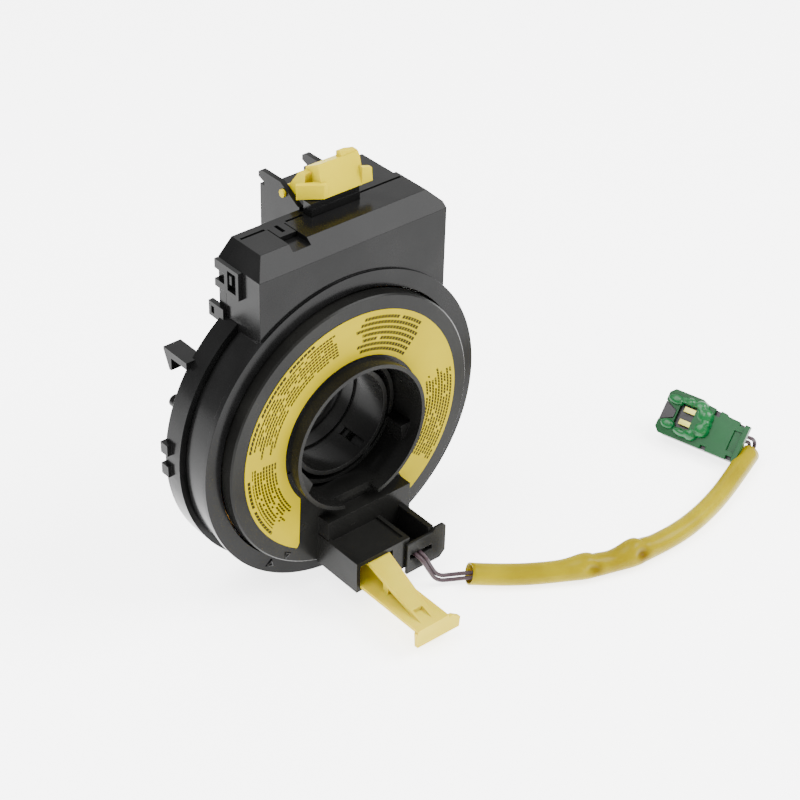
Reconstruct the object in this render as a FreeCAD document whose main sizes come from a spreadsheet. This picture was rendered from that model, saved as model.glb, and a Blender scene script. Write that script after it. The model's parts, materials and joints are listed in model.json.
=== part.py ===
import FreeCAD, Part
import math
import os
import re
import Sketcher

V = FreeCAD.Vector

# Driving sizes in millimetres. The drum turns about Y, its front is at -Y, and Y = 0 is the rear
# face that lies on the steering column. +Z points from the axis to the connector box.
SIZES = {
    # Drum of the stator
    "case_depth": 20.0,
    "flange_inset": 1.0,
    "flange_thickness": 1.8,
    "case_inset": 1.9,
    "case_wall": 2.0,
    "throat_gap": 0.7,
    "cover_radius": 55.0,
    "cover_depth": 7.9,
    "cover_plate": 2.0,
    "cover_gap": 1.0,
    "spigot_wall": 1.2,
    "spigot_length": 3.0,
    "seat_gap": 0.15,
    "run_gap": 0.3,
    "dish_radius": 30.0,
    "dish_depth": 3.0,
    "dish_wall": 2.0,
    "cover_bore": 20.9,
    # Connector box on top of the drum
    "box_left": 31.8,
    "box_right": 40.5,
    "box_top": 69.1,
    "box_step": 0.8,
    "box_chamfer": 5.0,
    "box_slope": 6.0,
    "box_corner": 3.5,
    "box_joint": 2.6,
    "box_rear": 1.0,
    "box_root": 34.0,
    "box_wall": 2.2,
    "box_floor": 45.0,
    "seam_width": 0.9,
    "seam_depth": 0.7,
    "seam_margin": 1.0,
    # Snap tongue in the top of the box
    "tongue_left": -16.0,
    "tongue_right": -10.0,
    "tongue_reach": 8.5,
    "tongue_thick": 1.5,
    "tongue_slot": 1.2,
    "notch_reach": 15.5,
    "notch_depth": 1.7,
    # Snap loop and eyelet on the left of the box
    "loop_thick": 1.5,
    "loop_reach": 10.8,
    "loop_low": 54.6,
    "loop_high": 64.0,
    "loop_bar": 1.4,
    "loop_window": 4.0,
    "catch_height": 1.1,
    "eyelet_low": 42.4,
    "eyelet_high": 47.6,
    "eyelet_depth": 4.8,
    "eyelet_rim": 1.4,
    # Hook arms and locating peg on the rear rim
    "hook_left": -46.8,
    "hook_right": -40.4,
    "hook_top": 33.6,
    "hook_thick": 2.4,
    "hook_reach": 10.0,
    "hook_barb": 4.4,
    "hook_barb_depth": 4.0,
    "peg_radius": 2.1,
    "peg_reach": 5.0,
    "peg_x": -47.0,
    "peg_z": 16.5,
    "clip_width": 4.0,
    "clip_proud": 1.2,
    "clip_depth": 3.6,
    # Column connector with side walls
    "plug_left": -1.4,
    "plug_right": 17.4,
    "plug_wall": 1.8,
    "plug_front": 5.0,
    "plug_low": 54.7,
    "plug_top": 74.5,
    "plug_lip": 71.5,
    "plug_lip_step": 0.4,
    "plug_rear": 20.5,
    "plug_roof": 68.4,
    "plug_base": 3.0,
    "socket_face": 4.0,
    "wall_knee_y": 1.9,
    "wall_knee_z": 69.8,
    "wall_crest": 10.3,
    "hook_tip": 21.3,
    "hook_notch": 18.3,
    "hook_slit": 1.0,
    "hook_drop": 70.2,
    # Second socket beside it
    "bay_left": 18.6,
    "bay_right": 36.0,
    "bay_low": 50.0,
    "bay_rear": 16.5,
    "bay_wall": 1.7,
    # Connector lever
    "pivot_y": 8.7,
    "pivot_z": 71.4,
    "pivot_radius": 1.3,
    "pivot_bore_gap": 0.1,
    "pivot_proud": 0.8,
    "arm_gap": 0.35,
    "arm_thick": 1.4,
    "arm_round": 2.1,
    "handle_left": 3.4,
    "handle_right": 19.2,
    "handle_low": 73.6,
    "handle_high": 83.7,
    "handle_lean": 3.0,
    "handle_depth": 5.9,
    "handle_fall": 2.7,
    "handle_wall": 1.6,
    "crest_left": 12.4,
    "crest_right": 18.9,
    "crest_rise": 1.7,
    "crest_fall": 1.4,
    "tab_reach": 3.2,
    "tab_height": 5.9,
    "tab_fall": 1.2,
    "foot_reach": 6.9,
    "foot_turn": 4.8,
    "foot_height": 4.8,
    # Rotor
    "rotor_inset": 7.4,
    "rotor_proud": 4.1,
    "rotor_plate": 2.0,
    "rotor_skirt": 5.1,
    "rotor_rim": 1.4,
    "hub_radius": 27.8,
    "hub_bore": 24.4,
    "collar_radius": 25.75,
    "collar_proud": 5.0,
    "web_thick": 2.6,
    "web_gap": 0.4,
    "spigot_radius": 20.6,
    "spigot_bore": 19.2,
    "hub_ring": 21.2,
    "hub_ring_wall": 1.4,
    "hub_ring_front": 17.2,
    "hub_step": 0.7,
    "hub_flat": 22.5,
    # Slotted sleeve in the hub
    "sleeve_bore": 17.5,
    "sleeve_front": 18.2,
    "sleeve_rear": 4.0,
    "sleeve_groove": 0.8,
    "groove_front": 6.0,
    "groove_rear": 3.0,
    "sleeve_fit": 0.1,
    "keeper_radius": 22.8,
    "keeper_thick": 1.6,
    "slot_width": 2.8,
    "slot_turn": 55.0,
    "slot_front": 16.4,
    # Connector block of the rotor
    "slab_left": -13.7,
    "slab_right": 20.5,
    "slab_top": -27.6,
    "slab_depth": 4.9,
    "block_left": -14.0,
    "block_right": 17.8,
    "block_top": -34.6,
    "block_low": -46.3,
    "block_front": 23.8,
    "block_rim": 1.8,
    "trough_depth": 0.8,
    "rib_width": 1.4,
    "key_bay_left": -12.6,
    "key_bay_right": 0.8,
    "key_bay_top": -36.2,
    "key_bay_low": -45.6,
    "key_bay_depth": 13.0,
    "wire_bay_left": 7.8,
    "wire_bay_right": 15.8,
    "wire_bay_floor": -44.0,
    "gate_left": -7.0,
    "gate_right": 6.8,
    # Label
    "label_inset": 12.5,
    "label_inner": 26.9,
    "label_thick": 0.2,
    "label_left_top": -21.0,
    "label_left_low": -21.8,
    "label_left_end": -34.2,
    "label_corner": 1.8,
    "label_right_top": 21.0,
    "label_right_low": 24.3,
    # Wire plate
    "wplate_left": 6.0,
    "wplate_right": 22.5,
    "wplate_low": -48.5,
    "wplate_top": -35.0,
    "wplate_thick": 1.2,
    "wplate_corner": 2.2,
    "wplate_notch": 1.4,
    "wslot_left": 6.3,
    "wslot_right": 16.6,
    "wslot_z": -42.0,
    "wslot_height": 1.9,
    # Lock key
    "key_left": -9.0,
    "key_right": -0.4,
    "key_reach": 28.0,
    "key_tail": 10.0,
    "key_tail_web": 3.0,
    "key_gap": 0.35,
    "key_strip": 1.5,
    "key_strip_end": 25.7,
    "key_strip_foot": 22.0,
    "key_narrow": 2.8,
    "key_window_left": -8.1,
    "key_window_right": -4.5,
    "key_window": 20.5,
    "key_rib_near": 6.2,
    "key_rib_far": 8.7,
    "key_base_left": -12.3,
    "key_base_right": 0.5,
    "key_base_top": -44.2,
    "key_base_thick": 1.2,
    "key_end_left": -12.8,
    "key_end_right": 5.4,
    "key_end_low": -51.4,
    "key_end_top": -45.2,
    "key_end_thick": 1.5,
    "key_end_slope": 3.3,
    # Ribbon and its ends
    "tape_width": 15.0,
    "tape_thick": 0.3,
    "tape_turns": 6.0,
    "tape_inner": 30.6,
    "tape_inset": 5.8,
    "tape_front": 17.6,
    "carrier_width": 9.0,
    "carrier_thick": 1.5,
    "slip_thick": 0.3,
    # Terminals
    "pin_side": 0.64,
    "pin_pitch": 2.5,
    "pin_length": 10.0,
    "strip_width": 1.2,
    "strip_thick": 0.5,
    # Airbag lead
    "wire_radius": 0.7,
    "tube_radius": 3.7,
    "tube_bore": 3.2,
    # Airbag plug in its own frame: length, width and thickness
    "head_length": 33.0,
    "head_width": 14.1,
    "head_bulge": 2.9,
    "head_thick": 7.8,
    "head_corner": 1.8,
    "body_end": 2.6,
    "shell_thick": 5.2,
    "lid_thick": 1.4,
    "knob_radius": 5.6,
    "knob_x": 12.9,
    "knob_y": 8.9,
    "knob_high": 1.5,
    "well_left": 5.9,
    "well_right": 13.0,
    "well_low": 4.2,
    "well_high": 13.2,
    "wedge_tip": 5.2,
    "wedge_low": 5.2,
    "wedge_high": 11.9,
    "contact_width": 2.0,
    "contact_length": 4.5,
    "contact_left": 7.7,
    "contact_low": 5.5,
    "contact_pitch": 4.8,
    "contact_thick": 1.6,
    "catch_first": 18.6,
    "catch_pitch": 10.2,
    "catch_length": 2.2,
    "catch_depth": 1.6,
    "window_length": 3.2,
    "window_end": 1.8,
    "window_margin": 3.2,
    "rim_proud": 0.7,
}

os.makedirs("parts", exist_ok=True)
doc = FreeCAD.newDocument("ClockSpring")
sheet = doc.addObject("Spreadsheet::Sheet", "Sizes")
for row, (name, size) in enumerate(SIZES.items(), start=1):
    sheet.set(f"A{row}", name)
    sheet.set(f"B{row}", str(size))
    sheet.setAlias(f"B{row}", name)
doc.recompute()


def cell(text):
    """Write an expression with the sheet's name before each size in it."""
    return re.sub(r"[a-z][a-z_0-9]*",
                  lambda found: ("Sizes." if found.group(0) in SIZES else "") + found.group(0), text)


def size(name):
    return float(sheet.get(name))


def new_body(label):
    body = doc.addObject("PartDesign::Body", "".join(word.title() for word in label.split("_")))
    body.Label = label
    return body


def sketch(body, name, role, offset):
    """An empty sketch on one of the body's own origin planes, moved along the plane's normal."""
    made = body.newObject("Sketcher::SketchObject", body.Name + name)
    plane = [item for item in body.Origin.OriginFeatures if item.Role == role][0]
    made.AttachmentSupport = [(plane, "")]
    made.MapMode = "FlatFace"
    made.setExpression("AttachmentOffset.Base.z", cell(offset))
    return made


def outline(body, name, role, points, offset="0"):
    """A closed polygon whose corners are bound to the sizes."""
    made = sketch(body, name, role, offset)
    count = len(points)
    for index in range(count):
        start = V(index, index * index, 0)
        end = V(index + 1, (index + 1) ** 2, 0)
        made.addGeometry(Part.LineSegment(start, end), False)
    for index in range(count):
        made.addConstraint(Sketcher.Constraint("Coincident", index, 2, (index + 1) % count, 1))
    for index, corner in enumerate(points):
        for kind, text in zip(("DistanceX", "DistanceY"), corner):
            rule = made.addConstraint(Sketcher.Constraint(kind, -1, 1, index, 1, 1.0 + index))
            made.setExpression(f"Constraints[{rule}]", cell(text))
    return made


def circles(body, name, role, rounds, offset="0"):
    """Full circles, each given as x, y and radius, in one sketch."""
    made = sketch(body, name, role, offset)
    for index, (x, y, radius) in enumerate(rounds):
        made.addGeometry(Part.Circle(V(index, index, 0), V(0, 0, 1), 1 + index), False)
        for kind, text in (("DistanceX", x), ("DistanceY", y)):
            rule = made.addConstraint(Sketcher.Constraint(kind, -1, 1, index, 3, 1.0 + index))
            made.setExpression(f"Constraints[{rule}]", cell(text))
        rule = made.addConstraint(Sketcher.Constraint("Radius", index, 1.0 + index))
        made.setExpression(f"Constraints[{rule}]", cell(radius))
    return made


def extrude(body, name, profile, length, cut=False):
    """Pad a sketch forwards along its normal, or cut it out of the body the same way."""
    kind = "PartDesign::Pocket" if cut else "PartDesign::Pad"
    made = body.newObject(kind, body.Name + name)
    made.Profile = profile
    made.setExpression("Length", cell(length))
    made.Reversed = cut
    doc.recompute()
    return made


def rectangle(left, right, low, high):
    return [(left, low), (right, low), (right, high), (left, high)]


def block_y(body, name, points, near, far, cut=False):
    """A prism along Y between two depths, from a polygon of x and z."""
    profile = outline(body, name + "Sketch", "XZ_Plane", points, f"-({far})")
    return extrude(body, name, profile, f"({far}) - ({near})", cut)


def block_x(body, name, points, left, right, cut=False):
    """A prism along X between two places, from a polygon of y and z."""
    profile = outline(body, name + "Sketch", "YZ_Plane", points, left)
    return extrude(body, name, profile, f"({right}) - ({left})", cut)


def block_z(body, name, points, low, high, cut=False):
    """A prism along Z between two heights, from a polygon of x and y."""
    profile = outline(body, name + "Sketch", "XY_Plane", points, low)
    return extrude(body, name, profile, f"({high}) - ({low})", cut)


def rod(body, name, role, x, y, radius, start, end, cut=False):
    """A cylinder along a plane's normal between two places on that axis."""
    turn = "-1" if role == "XZ_Plane" else "1"
    offset = f"{turn} * ({end if turn == '-1' else start})"
    profile = circles(body, name + "Sketch", role, [(x, y, radius)], offset)
    return extrude(body, name, profile, f"({end}) - ({start})", cut)


def turned(body, name, points, cut=False):
    """A full turn about Y of a polygon of radius and y."""
    made = body.newObject("PartDesign::Groove" if cut else "PartDesign::Revolution", body.Name + name)
    made.Profile = outline(body, name + "Sketch", "XY_Plane", points)
    made.ReferenceAxis = (made.Profile[0], ["V_Axis"])
    made.Angle = 360
    doc.recompute()
    return made


def box_outline(inset, low):
    """The connector box seen from the front, with its two cut corners."""
    slant = f"({inset}) * (sqrt(2) - 1)"
    left = f"-box_left + ({inset})"
    right = f"box_right - ({inset})"
    top = f"box_top - ({inset})"
    return [
        (left, low),
        (right, low),
        (right, f"box_top - box_corner - {slant}"),
        (f"box_right - box_corner - {slant}", top),
        (f"-box_left + box_chamfer + {slant}", top),
        (left, f"box_top - box_chamfer - {slant}"),
    ]


FLANGE = "-case_depth"
CASE_RADIUS = "(cover_radius - case_inset)"
ROTOR_RADIUS = "(cover_radius - rotor_inset)"
LABEL_OUTER = "(cover_radius - label_inset)"
BOX_FRONT = "-case_depth + box_step"
FACE = "(-case_depth - rotor_proud)"
SLAB_FRONT = f"({FACE} - slab_depth)"
BLOCK_FRONT = "(-case_depth - block_front)"
WPLATE_FRONT = "(-case_depth - block_front - wplate_thick)"


def build_front_case():
    """Drum wall, flange ring and front half of the box, moulded in one."""
    body = new_body("front_case")
    block_y(body, "Box", box_outline("0", "box_root"), BOX_FRONT, "-box_joint")
    turned(body, "Drum", [
        ("0", FLANGE),
        ("cover_radius - flange_inset", FLANGE),
        ("cover_radius - flange_inset", "-case_depth + flange_thickness"),
        (CASE_RADIUS, "-case_depth + flange_thickness + run_gap"),
        (CASE_RADIUS, "-cover_depth - cover_gap"),
        (f"{CASE_RADIUS} - spigot_wall / 2", "-cover_depth - cover_gap"),
        (f"{CASE_RADIUS} - spigot_wall / 2", "-cover_depth + spigot_length"),
        ("0", "-cover_depth + spigot_length"),
    ])
    turned(body, "Throat", [
        ("0", "-case_depth - 1"),
        (f"{ROTOR_RADIUS} + throat_gap", "-case_depth - 1"),
        (f"{ROTOR_RADIUS} + throat_gap", "-case_depth + flange_thickness"),
        (f"{CASE_RADIUS} - case_wall", "-case_depth + flange_thickness"),
        (f"{CASE_RADIUS} - case_wall", "1"),
        ("0", "1"),
    ], cut=True)
    steep = "box_slope / box_chamfer"
    block_x(body, "Slope", [
        (f"{BOX_FRONT} - {steep}", "box_top - box_chamfer - 1"),
        (f"{BOX_FRONT} - {steep}", "box_top + 1"),
        (f"{BOX_FRONT} + box_slope + {steep}", "box_top + 1"),
    ], "-box_left - 1", "box_right + 1", cut=True)
    block_y(body, "Hollow", box_outline("box_wall", "box_floor"),
            f"{BOX_FRONT} + box_slope - 0.5", "-box_joint + 1", cut=True)
    block_y(body, "FrontHollow", rectangle("-box_left + box_wall", "box_right - box_wall",
                                           f"{CASE_RADIUS} + 1", "box_top - box_chamfer - box_wall"),
            f"{BOX_FRONT} + box_wall", f"{BOX_FRONT} + box_slope", cut=True)
    block_y(body, "Notch", rectangle("tongue_left - run_gap", "tongue_right + run_gap",
                                     "box_top - notch_depth", "box_top + 1"),
            "-notch_reach", "-box_joint + 1", cut=True)
    block_y(body, "PlugBay", rectangle("plug_left - seat_gap", "plug_right + seat_gap",
                                       "plug_low - seat_gap", "box_top + 1"),
            "-plug_front - seat_gap", "-box_joint + 1", cut=True)
    window = "-loop_reach + loop_bar"
    block_y(body, "Catch", [
        ("-box_left + 1", "loop_low + loop_bar + 1"),
        ("-box_left + 1", "loop_high - loop_bar - seat_gap"),
        ("-box_left - catch_height", "loop_high - loop_bar - 1.5"),
        ("-box_left - catch_height", "loop_low + loop_bar + 2"),
    ], f"{window} + loop_window - 1.6", f"{window} + loop_window - seat_gap")
    return body


def build_rear_cover():
    """Rear band, dished rear plate and rear half of the box, with snaps, hooks and peg."""
    body = new_body("rear_cover")
    block_y(body, "Box", box_outline("0", "box_root"), "-box_joint", "box_rear")
    block_y(body, "BaySocket", rectangle("bay_left", "bay_right", "bay_low", "box_top"),
            "-box_joint", "bay_rear")
    turned(body, "Band", [
        ("0", "-cover_depth"),
        ("cover_radius", "-cover_depth"),
        ("cover_radius", "-0.6"),
        ("cover_radius - 0.6", "0"),
        ("0", "0"),
    ])
    turned(body, "Inside", [
        ("0", "-cover_depth - 1"),
        (f"{CASE_RADIUS} - spigot_wall / 2 + seat_gap", "-cover_depth - 1"),
        (f"{CASE_RADIUS} - spigot_wall / 2 + seat_gap", "-cover_depth + spigot_length + seat_gap"),
        (f"{CASE_RADIUS} - case_wall", "-cover_depth + spigot_length + seat_gap"),
        (f"{CASE_RADIUS} - case_wall", "-cover_plate"),
        ("dish_radius", "-cover_plate"),
        ("dish_radius", "-dish_depth - cover_plate"),
        ("0", "-dish_depth - cover_plate"),
    ], cut=True)
    turned(body, "Dish", [
        ("0", "box_rear + 1"),
        ("dish_radius - dish_wall", "box_rear + 1"),
        ("dish_radius - dish_wall", "-dish_depth"),
        ("0", "-dish_depth"),
    ], cut=True)
    rod(body, "Bore", "XZ_Plane", "0", "0", "cover_bore", "-case_depth", "box_rear + 1", cut=True)
    block_y(body, "BoxGap", box_outline("-seat_gap", "box_root - seat_gap"),
            "-cover_depth - 1", "-box_joint", cut=True)
    block_y(body, "Hollow", box_outline("box_wall", "box_floor"),
            "-box_joint - 1", "box_rear - box_wall", cut=True)
    block_y(body, "PlugBay", rectangle("plug_left - seat_gap", "plug_right + seat_gap",
                                       "plug_low - seat_gap", "box_top + 1"),
            "-box_joint - 1", "box_rear + 1", cut=True)
    block_y(body, "BayHollow", rectangle("bay_left + bay_wall", "bay_right - bay_wall",
                                         "bay_low + bay_wall", "box_top - bay_wall"),
            "socket_face", "bay_rear + 1", cut=True)
    for name, left, right in (
        ("LeftSeam", "-box_left + box_chamfer + seam_margin", "tongue_left - seam_margin"),
        ("MiddleSeam", "tongue_right + seam_margin", "plug_left - seam_margin"),
        ("RightSeam", "plug_right + seam_margin", "box_right - box_corner - seam_margin"),
    ):
        block_y(body, name, rectangle(left, right, "box_top - seam_depth", "box_top + 1"),
                "-box_joint", "-box_joint + seam_width", cut=True)
    block_y(body, "Tongue", rectangle("tongue_left", "tongue_right", "box_top - tongue_thick", "box_top"),
            "-tongue_reach", "-box_joint + 1")
    block_y(body, "TongueSlot", rectangle("(tongue_left + tongue_right) / 2 - tongue_slot / 2",
                                          "(tongue_left + tongue_right) / 2 + tongue_slot / 2",
                                          "box_top - tongue_thick - 1", "box_top + 1"),
            "-tongue_reach + 2", "-tongue_reach + 6.2", cut=True)
    block_x(body, "Loop", rectangle("-loop_reach", "box_rear", "loop_low", "loop_high"),
            "-box_left - loop_thick", "-box_left")
    block_x(body, "LoopWindow", rectangle("-loop_reach + loop_bar", "-loop_reach + loop_bar + loop_window",
                                          "loop_low + loop_bar", "loop_high - loop_bar"),
            "-box_left - loop_thick - 1", "-box_left", cut=True)
    block_x(body, "LoopWaist", rectangle("-box_joint - 1.2", "box_rear + 1",
                                         "loop_low + 2.6", "loop_high - 3.2"),
            "-box_left - loop_thick - 1", "-box_left", cut=True)
    block_x(body, "Eyelet", rectangle("-box_joint", "eyelet_depth", "eyelet_low", "eyelet_high"),
            "-box_left - eyelet_rim", "-box_left + 0.4")
    block_x(body, "EyeletHole", rectangle("box_rear + 1", "eyelet_depth - eyelet_rim",
                                          "eyelet_low + eyelet_rim", "eyelet_high - eyelet_rim"),
            "-box_left - eyelet_rim - 1", "-box_left + 1", cut=True)
    barb_start = "hook_reach - hook_barb_depth"
    block_x(body, "Hook", [
        ("-cover_plate", "hook_top - hook_thick"),
        (barb_start, "hook_top - hook_thick"),
        (barb_start, "hook_top - hook_thick - hook_barb"),
        (f"{barb_start} + 1.2", "hook_top - hook_thick - hook_barb - 0.3"),
        ("hook_reach", "hook_top - 1"),
        ("hook_reach", "hook_top"),
        ("-cover_plate", "hook_top"),
    ], "hook_left", "hook_right")
    rod(body, "Peg", "XZ_Plane", "peg_x", "peg_z", "peg_radius", "-cover_plate", "peg_reach")
    for index, low in enumerate(("clip_width", "-clip_width")):
        block_y(body, f"Clip{index}", rectangle("-cover_radius - clip_proud", "-cover_radius + 2", low,
                                                f"{low} + clip_width"), "-clip_depth", "0")
    return body


def build_connector_body():
    """Column connector: a socket facing the rear between two hooked side walls."""
    body = new_body("connector_body")
    block_y(body, "Base", rectangle("plug_left", "plug_right", "plug_low", "plug_roof"),
            "-plug_base", "plug_rear")
    block_y(body, "Lip", rectangle("plug_left", "plug_right", "plug_roof - 2", "plug_lip"),
            "-plug_front", "-plug_base + 2")
    block_y(body, "Crown", rectangle("plug_left", "plug_right", "plug_lip - 1", "handle_low - run_gap"),
            "-plug_front + plug_lip_step", "-plug_base + 2")
    for name, left, right in (("Left", "plug_left", "plug_left + plug_wall"),
                              ("Right", "plug_right - plug_wall", "plug_right")):
        block_x(body, name + "Wall", [
            ("box_rear", "plug_low"),
            ("plug_rear", "plug_low"),
            ("plug_rear", "hook_drop - hook_slit / 2"),
            ("hook_notch", "hook_drop - hook_slit / 2"),
            ("hook_notch", "hook_drop + hook_slit / 2"),
            ("hook_tip", "hook_drop + 1.6"),
            ("hook_tip", "plug_top - 1"),
            ("hook_tip - 1.4", "plug_top"),
            ("wall_crest", "plug_top"),
            ("wall_knee_y", "wall_knee_z"),
            ("box_rear", "wall_knee_z"),
        ], left, right)
    block_y(body, "Socket", rectangle("plug_left + plug_wall", "plug_right - plug_wall",
                                      "plug_low + plug_wall", "plug_roof - plug_wall"),
            "socket_face", "plug_rear + 1", cut=True)
    rod(body, "PinHole", "YZ_Plane", "pivot_y", "pivot_z", "pivot_radius + pivot_bore_gap",
        "plug_left - 1", "plug_right + 1", cut=True)
    return body


def build_connector_lever():
    """Yellow lever: a hollow handle on two arms whose pins turn in the connector's walls."""
    body = new_body("connector_lever")
    inner_left = "plug_left + plug_wall + arm_gap"
    inner_right = "plug_right - plug_wall - arm_gap"
    front = "-plug_front"
    lean = "-plug_front + handle_lean"
    block_x(body, "Handle", [
        (front, "handle_low"),
        (f"{front} + handle_wall", "handle_low"),
        (f"{lean} + handle_wall", "handle_high - handle_wall"),
        (f"{lean} + handle_depth", "handle_high - handle_fall - handle_wall"),
        (f"{lean} + handle_depth", "handle_high - handle_fall"),
        (f"{lean} + 0.4", "handle_high"),
        (lean, "handle_high"),
    ], "handle_left", "handle_right")
    for name, left in (("LeftSide", "handle_left"), ("RightSide", "handle_right - arm_thick")):
        block_x(body, name, [
            (front, "handle_low"),
            (f"{lean} + handle_depth - 0.7", "handle_low + arm_thick"),
            (f"{lean} + handle_depth", "handle_high - handle_fall"),
            (f"{lean} + 0.4", "handle_high"),
            (lean, "handle_high"),
        ], left, f"{left} + arm_thick")
    block_x(body, "Crest", [
        (f"{lean} + 0.1", "handle_high - 1"),
        (f"{lean} + handle_wall + 1", "handle_high - 1"),
        (f"{lean} + handle_wall + 1", "handle_high + crest_rise - 0.6"),
        (f"{lean} + handle_wall", "handle_high + crest_rise"),
        (f"{lean} + 0.6", "handle_high + crest_rise"),
    ], "crest_left", "crest_right")
    block_y(body, "CrestFall", [
        ("crest_left", "handle_high + crest_rise"),
        ("crest_right", "handle_high + crest_rise - crest_fall"),
        ("handle_right + 0.2", "handle_high - crest_fall - 1"),
        ("handle_right + 1", "handle_high - crest_fall - 1"),
        ("handle_right + 1", "handle_high + crest_rise + 1"),
        ("crest_left", "handle_high + crest_rise + 1"),
    ], front, "pivot_y", cut=True)
    block_y(body, "Tab", [
        ("handle_right - 1", "handle_low"),
        ("handle_right + tab_reach", "handle_low"),
        ("handle_right + tab_reach - 0.4", "handle_low + tab_height - tab_fall"),
        ("handle_right - 1", "handle_low + tab_height"),
    ], front, f"{front} + handle_wall")
    block_x(body, "LeftArm", [
        (f"{lean} + handle_depth - 3", "handle_low + arm_thick"),
        ("pivot_y", "pivot_z - arm_round"),
        ("pivot_y", "pivot_z + arm_round"),
        (f"{lean} + handle_depth", "handle_high - handle_fall - 1"),
        (f"{lean} + handle_depth - 3", "handle_high - handle_fall - 0.6"),
    ], inner_left, "handle_left + 0.5")
    rod(body, "LeftEye", "YZ_Plane", "pivot_y", "pivot_z", "arm_round",
        inner_left, f"{inner_left} + arm_thick")
    block_x(body, "RightArm", [
        (f"{front} + 0.3", "handle_low + 0.3"),
        ("-plug_base + 2 + run_gap", "handle_low"),
        ("pivot_y - 5", "pivot_z - 0.8"),
        ("pivot_y", "pivot_z - arm_round"),
        ("pivot_y", "pivot_z + arm_round"),
        (f"{lean} + handle_depth", "handle_high - handle_fall - 1"),
        (f"{lean} + 1", "handle_high - handle_fall - 0.5"),
    ], f"{inner_right} - arm_thick", inner_right)
    rod(body, "RightEye", "YZ_Plane", "pivot_y", "pivot_z", "arm_round",
        f"{inner_right} - arm_thick", inner_right)
    block_z(body, "Foot", [
        ("handle_left + arm_thick", front),
        ("handle_left", front),
        ("handle_left - foot_reach", f"{front} + foot_turn"),
        ("handle_left - foot_reach + 0.9", f"{front} + foot_turn + 1.1"),
        ("handle_left + arm_thick", f"{front} + handle_wall + 0.4"),
    ], "handle_low", "handle_low + foot_height")
    rod(body, "LeftPin", "YZ_Plane", "pivot_y", "pivot_z", "pivot_radius", "plug_left - pivot_proud",
        f"{inner_left} + 0.5")
    rod(body, "RightPin", "YZ_Plane", "pivot_y", "pivot_z", "pivot_radius", f"{inner_right} - 0.5",
        "plug_right + pivot_proud")
    return body


def build_rotor():
    """Disc, collar, hub and connector block of the turning half, moulded in one."""
    body = new_body("rotor")
    web_rear = "-dish_depth - cover_plate - web_gap"
    web_front = f"{web_rear} - web_thick"
    disc_back = f"{FACE} + rotor_plate"
    turned(body, "Disc", [
        ("hub_bore", f"{FACE} - collar_proud"),
        ("collar_radius", f"{FACE} - collar_proud"),
        ("collar_radius", FACE),
        (f"{ROTOR_RADIUS} - 0.5", FACE),
        (ROTOR_RADIUS, f"{FACE} + 0.5"),
        (ROTOR_RADIUS, f"{FACE} + rotor_skirt"),
        (f"{ROTOR_RADIUS} - rotor_rim", f"{FACE} + rotor_skirt"),
        (f"{ROTOR_RADIUS} - rotor_rim", disc_back),
        ("hub_radius", disc_back),
        ("hub_radius", web_rear),
        ("spigot_radius", web_rear),
        ("spigot_radius", "-cover_plate - 0.6"),
        ("spigot_bore", "-cover_plate - 0.6"),
        ("spigot_bore", web_front),
        ("hub_ring", web_front),
        ("hub_ring", "-hub_ring_front"),
        ("hub_ring + hub_ring_wall", "-hub_ring_front"),
        ("hub_ring + hub_ring_wall", web_front),
        ("hub_bore", web_front),
    ])
    block_y(body, "Slab", rectangle("slab_left", "slab_right", "block_low", "slab_top"),
            SLAB_FRONT, disc_back)
    block_y(body, "Block", rectangle("block_left", "block_right", "block_low", "block_top"),
            BLOCK_FRONT, f"{FACE} + 0.5")
    block_y(body, "Gate", rectangle("gate_left", "gate_right", "slab_top", "0"),
            f"{SLAB_FRONT} - 1", FACE, cut=True)
    for name, points in (
        ("Floor", rectangle("-0.41 * hub_bore", "0.41 * hub_bore", "-hub_bore - 0.8", "-hub_flat")),
        ("LeftEar", [
            ("-1.07 * hub_bore", "-0.18 * hub_bore"),
            ("-0.89 * hub_bore", "-0.19 * hub_bore"),
            ("-0.68 * hub_bore", "-0.52 * hub_bore"),
            ("-0.77 * hub_bore", "-0.67 * hub_bore"),
            ("-0.85 * hub_bore", "-0.7 * hub_bore"),
        ]),
        ("RightEar", [
            ("1.04 * hub_bore", "-0.26 * hub_bore"),
            ("0.8 * hub_bore", "-0.27 * hub_bore"),
            ("0.83 * hub_bore", "-0.56 * hub_bore"),
            ("0.92 * hub_bore", "-0.6 * hub_bore"),
        ]),
    ):
        block_y(body, name, points, f"{FACE} - hub_step", "-hub_ring_front")
    block_z(body, "Trough", rectangle("block_left + block_rim", "wire_bay_left - rib_width",
                                      f"{BLOCK_FRONT} + block_rim", SLAB_FRONT),
            "block_top - trough_depth", "block_top + 1", cut=True)
    block_z(body, "WireBay", rectangle("wire_bay_left", "wire_bay_right", BLOCK_FRONT, SLAB_FRONT),
            "wire_bay_floor", "block_top + 1", cut=True)
    block_y(body, "KeyBay", rectangle("key_bay_left", "key_bay_right", "key_bay_low", "key_bay_top"),
            f"{BLOCK_FRONT} - 1", f"{BLOCK_FRONT} + key_bay_depth", cut=True)
    return body


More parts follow.
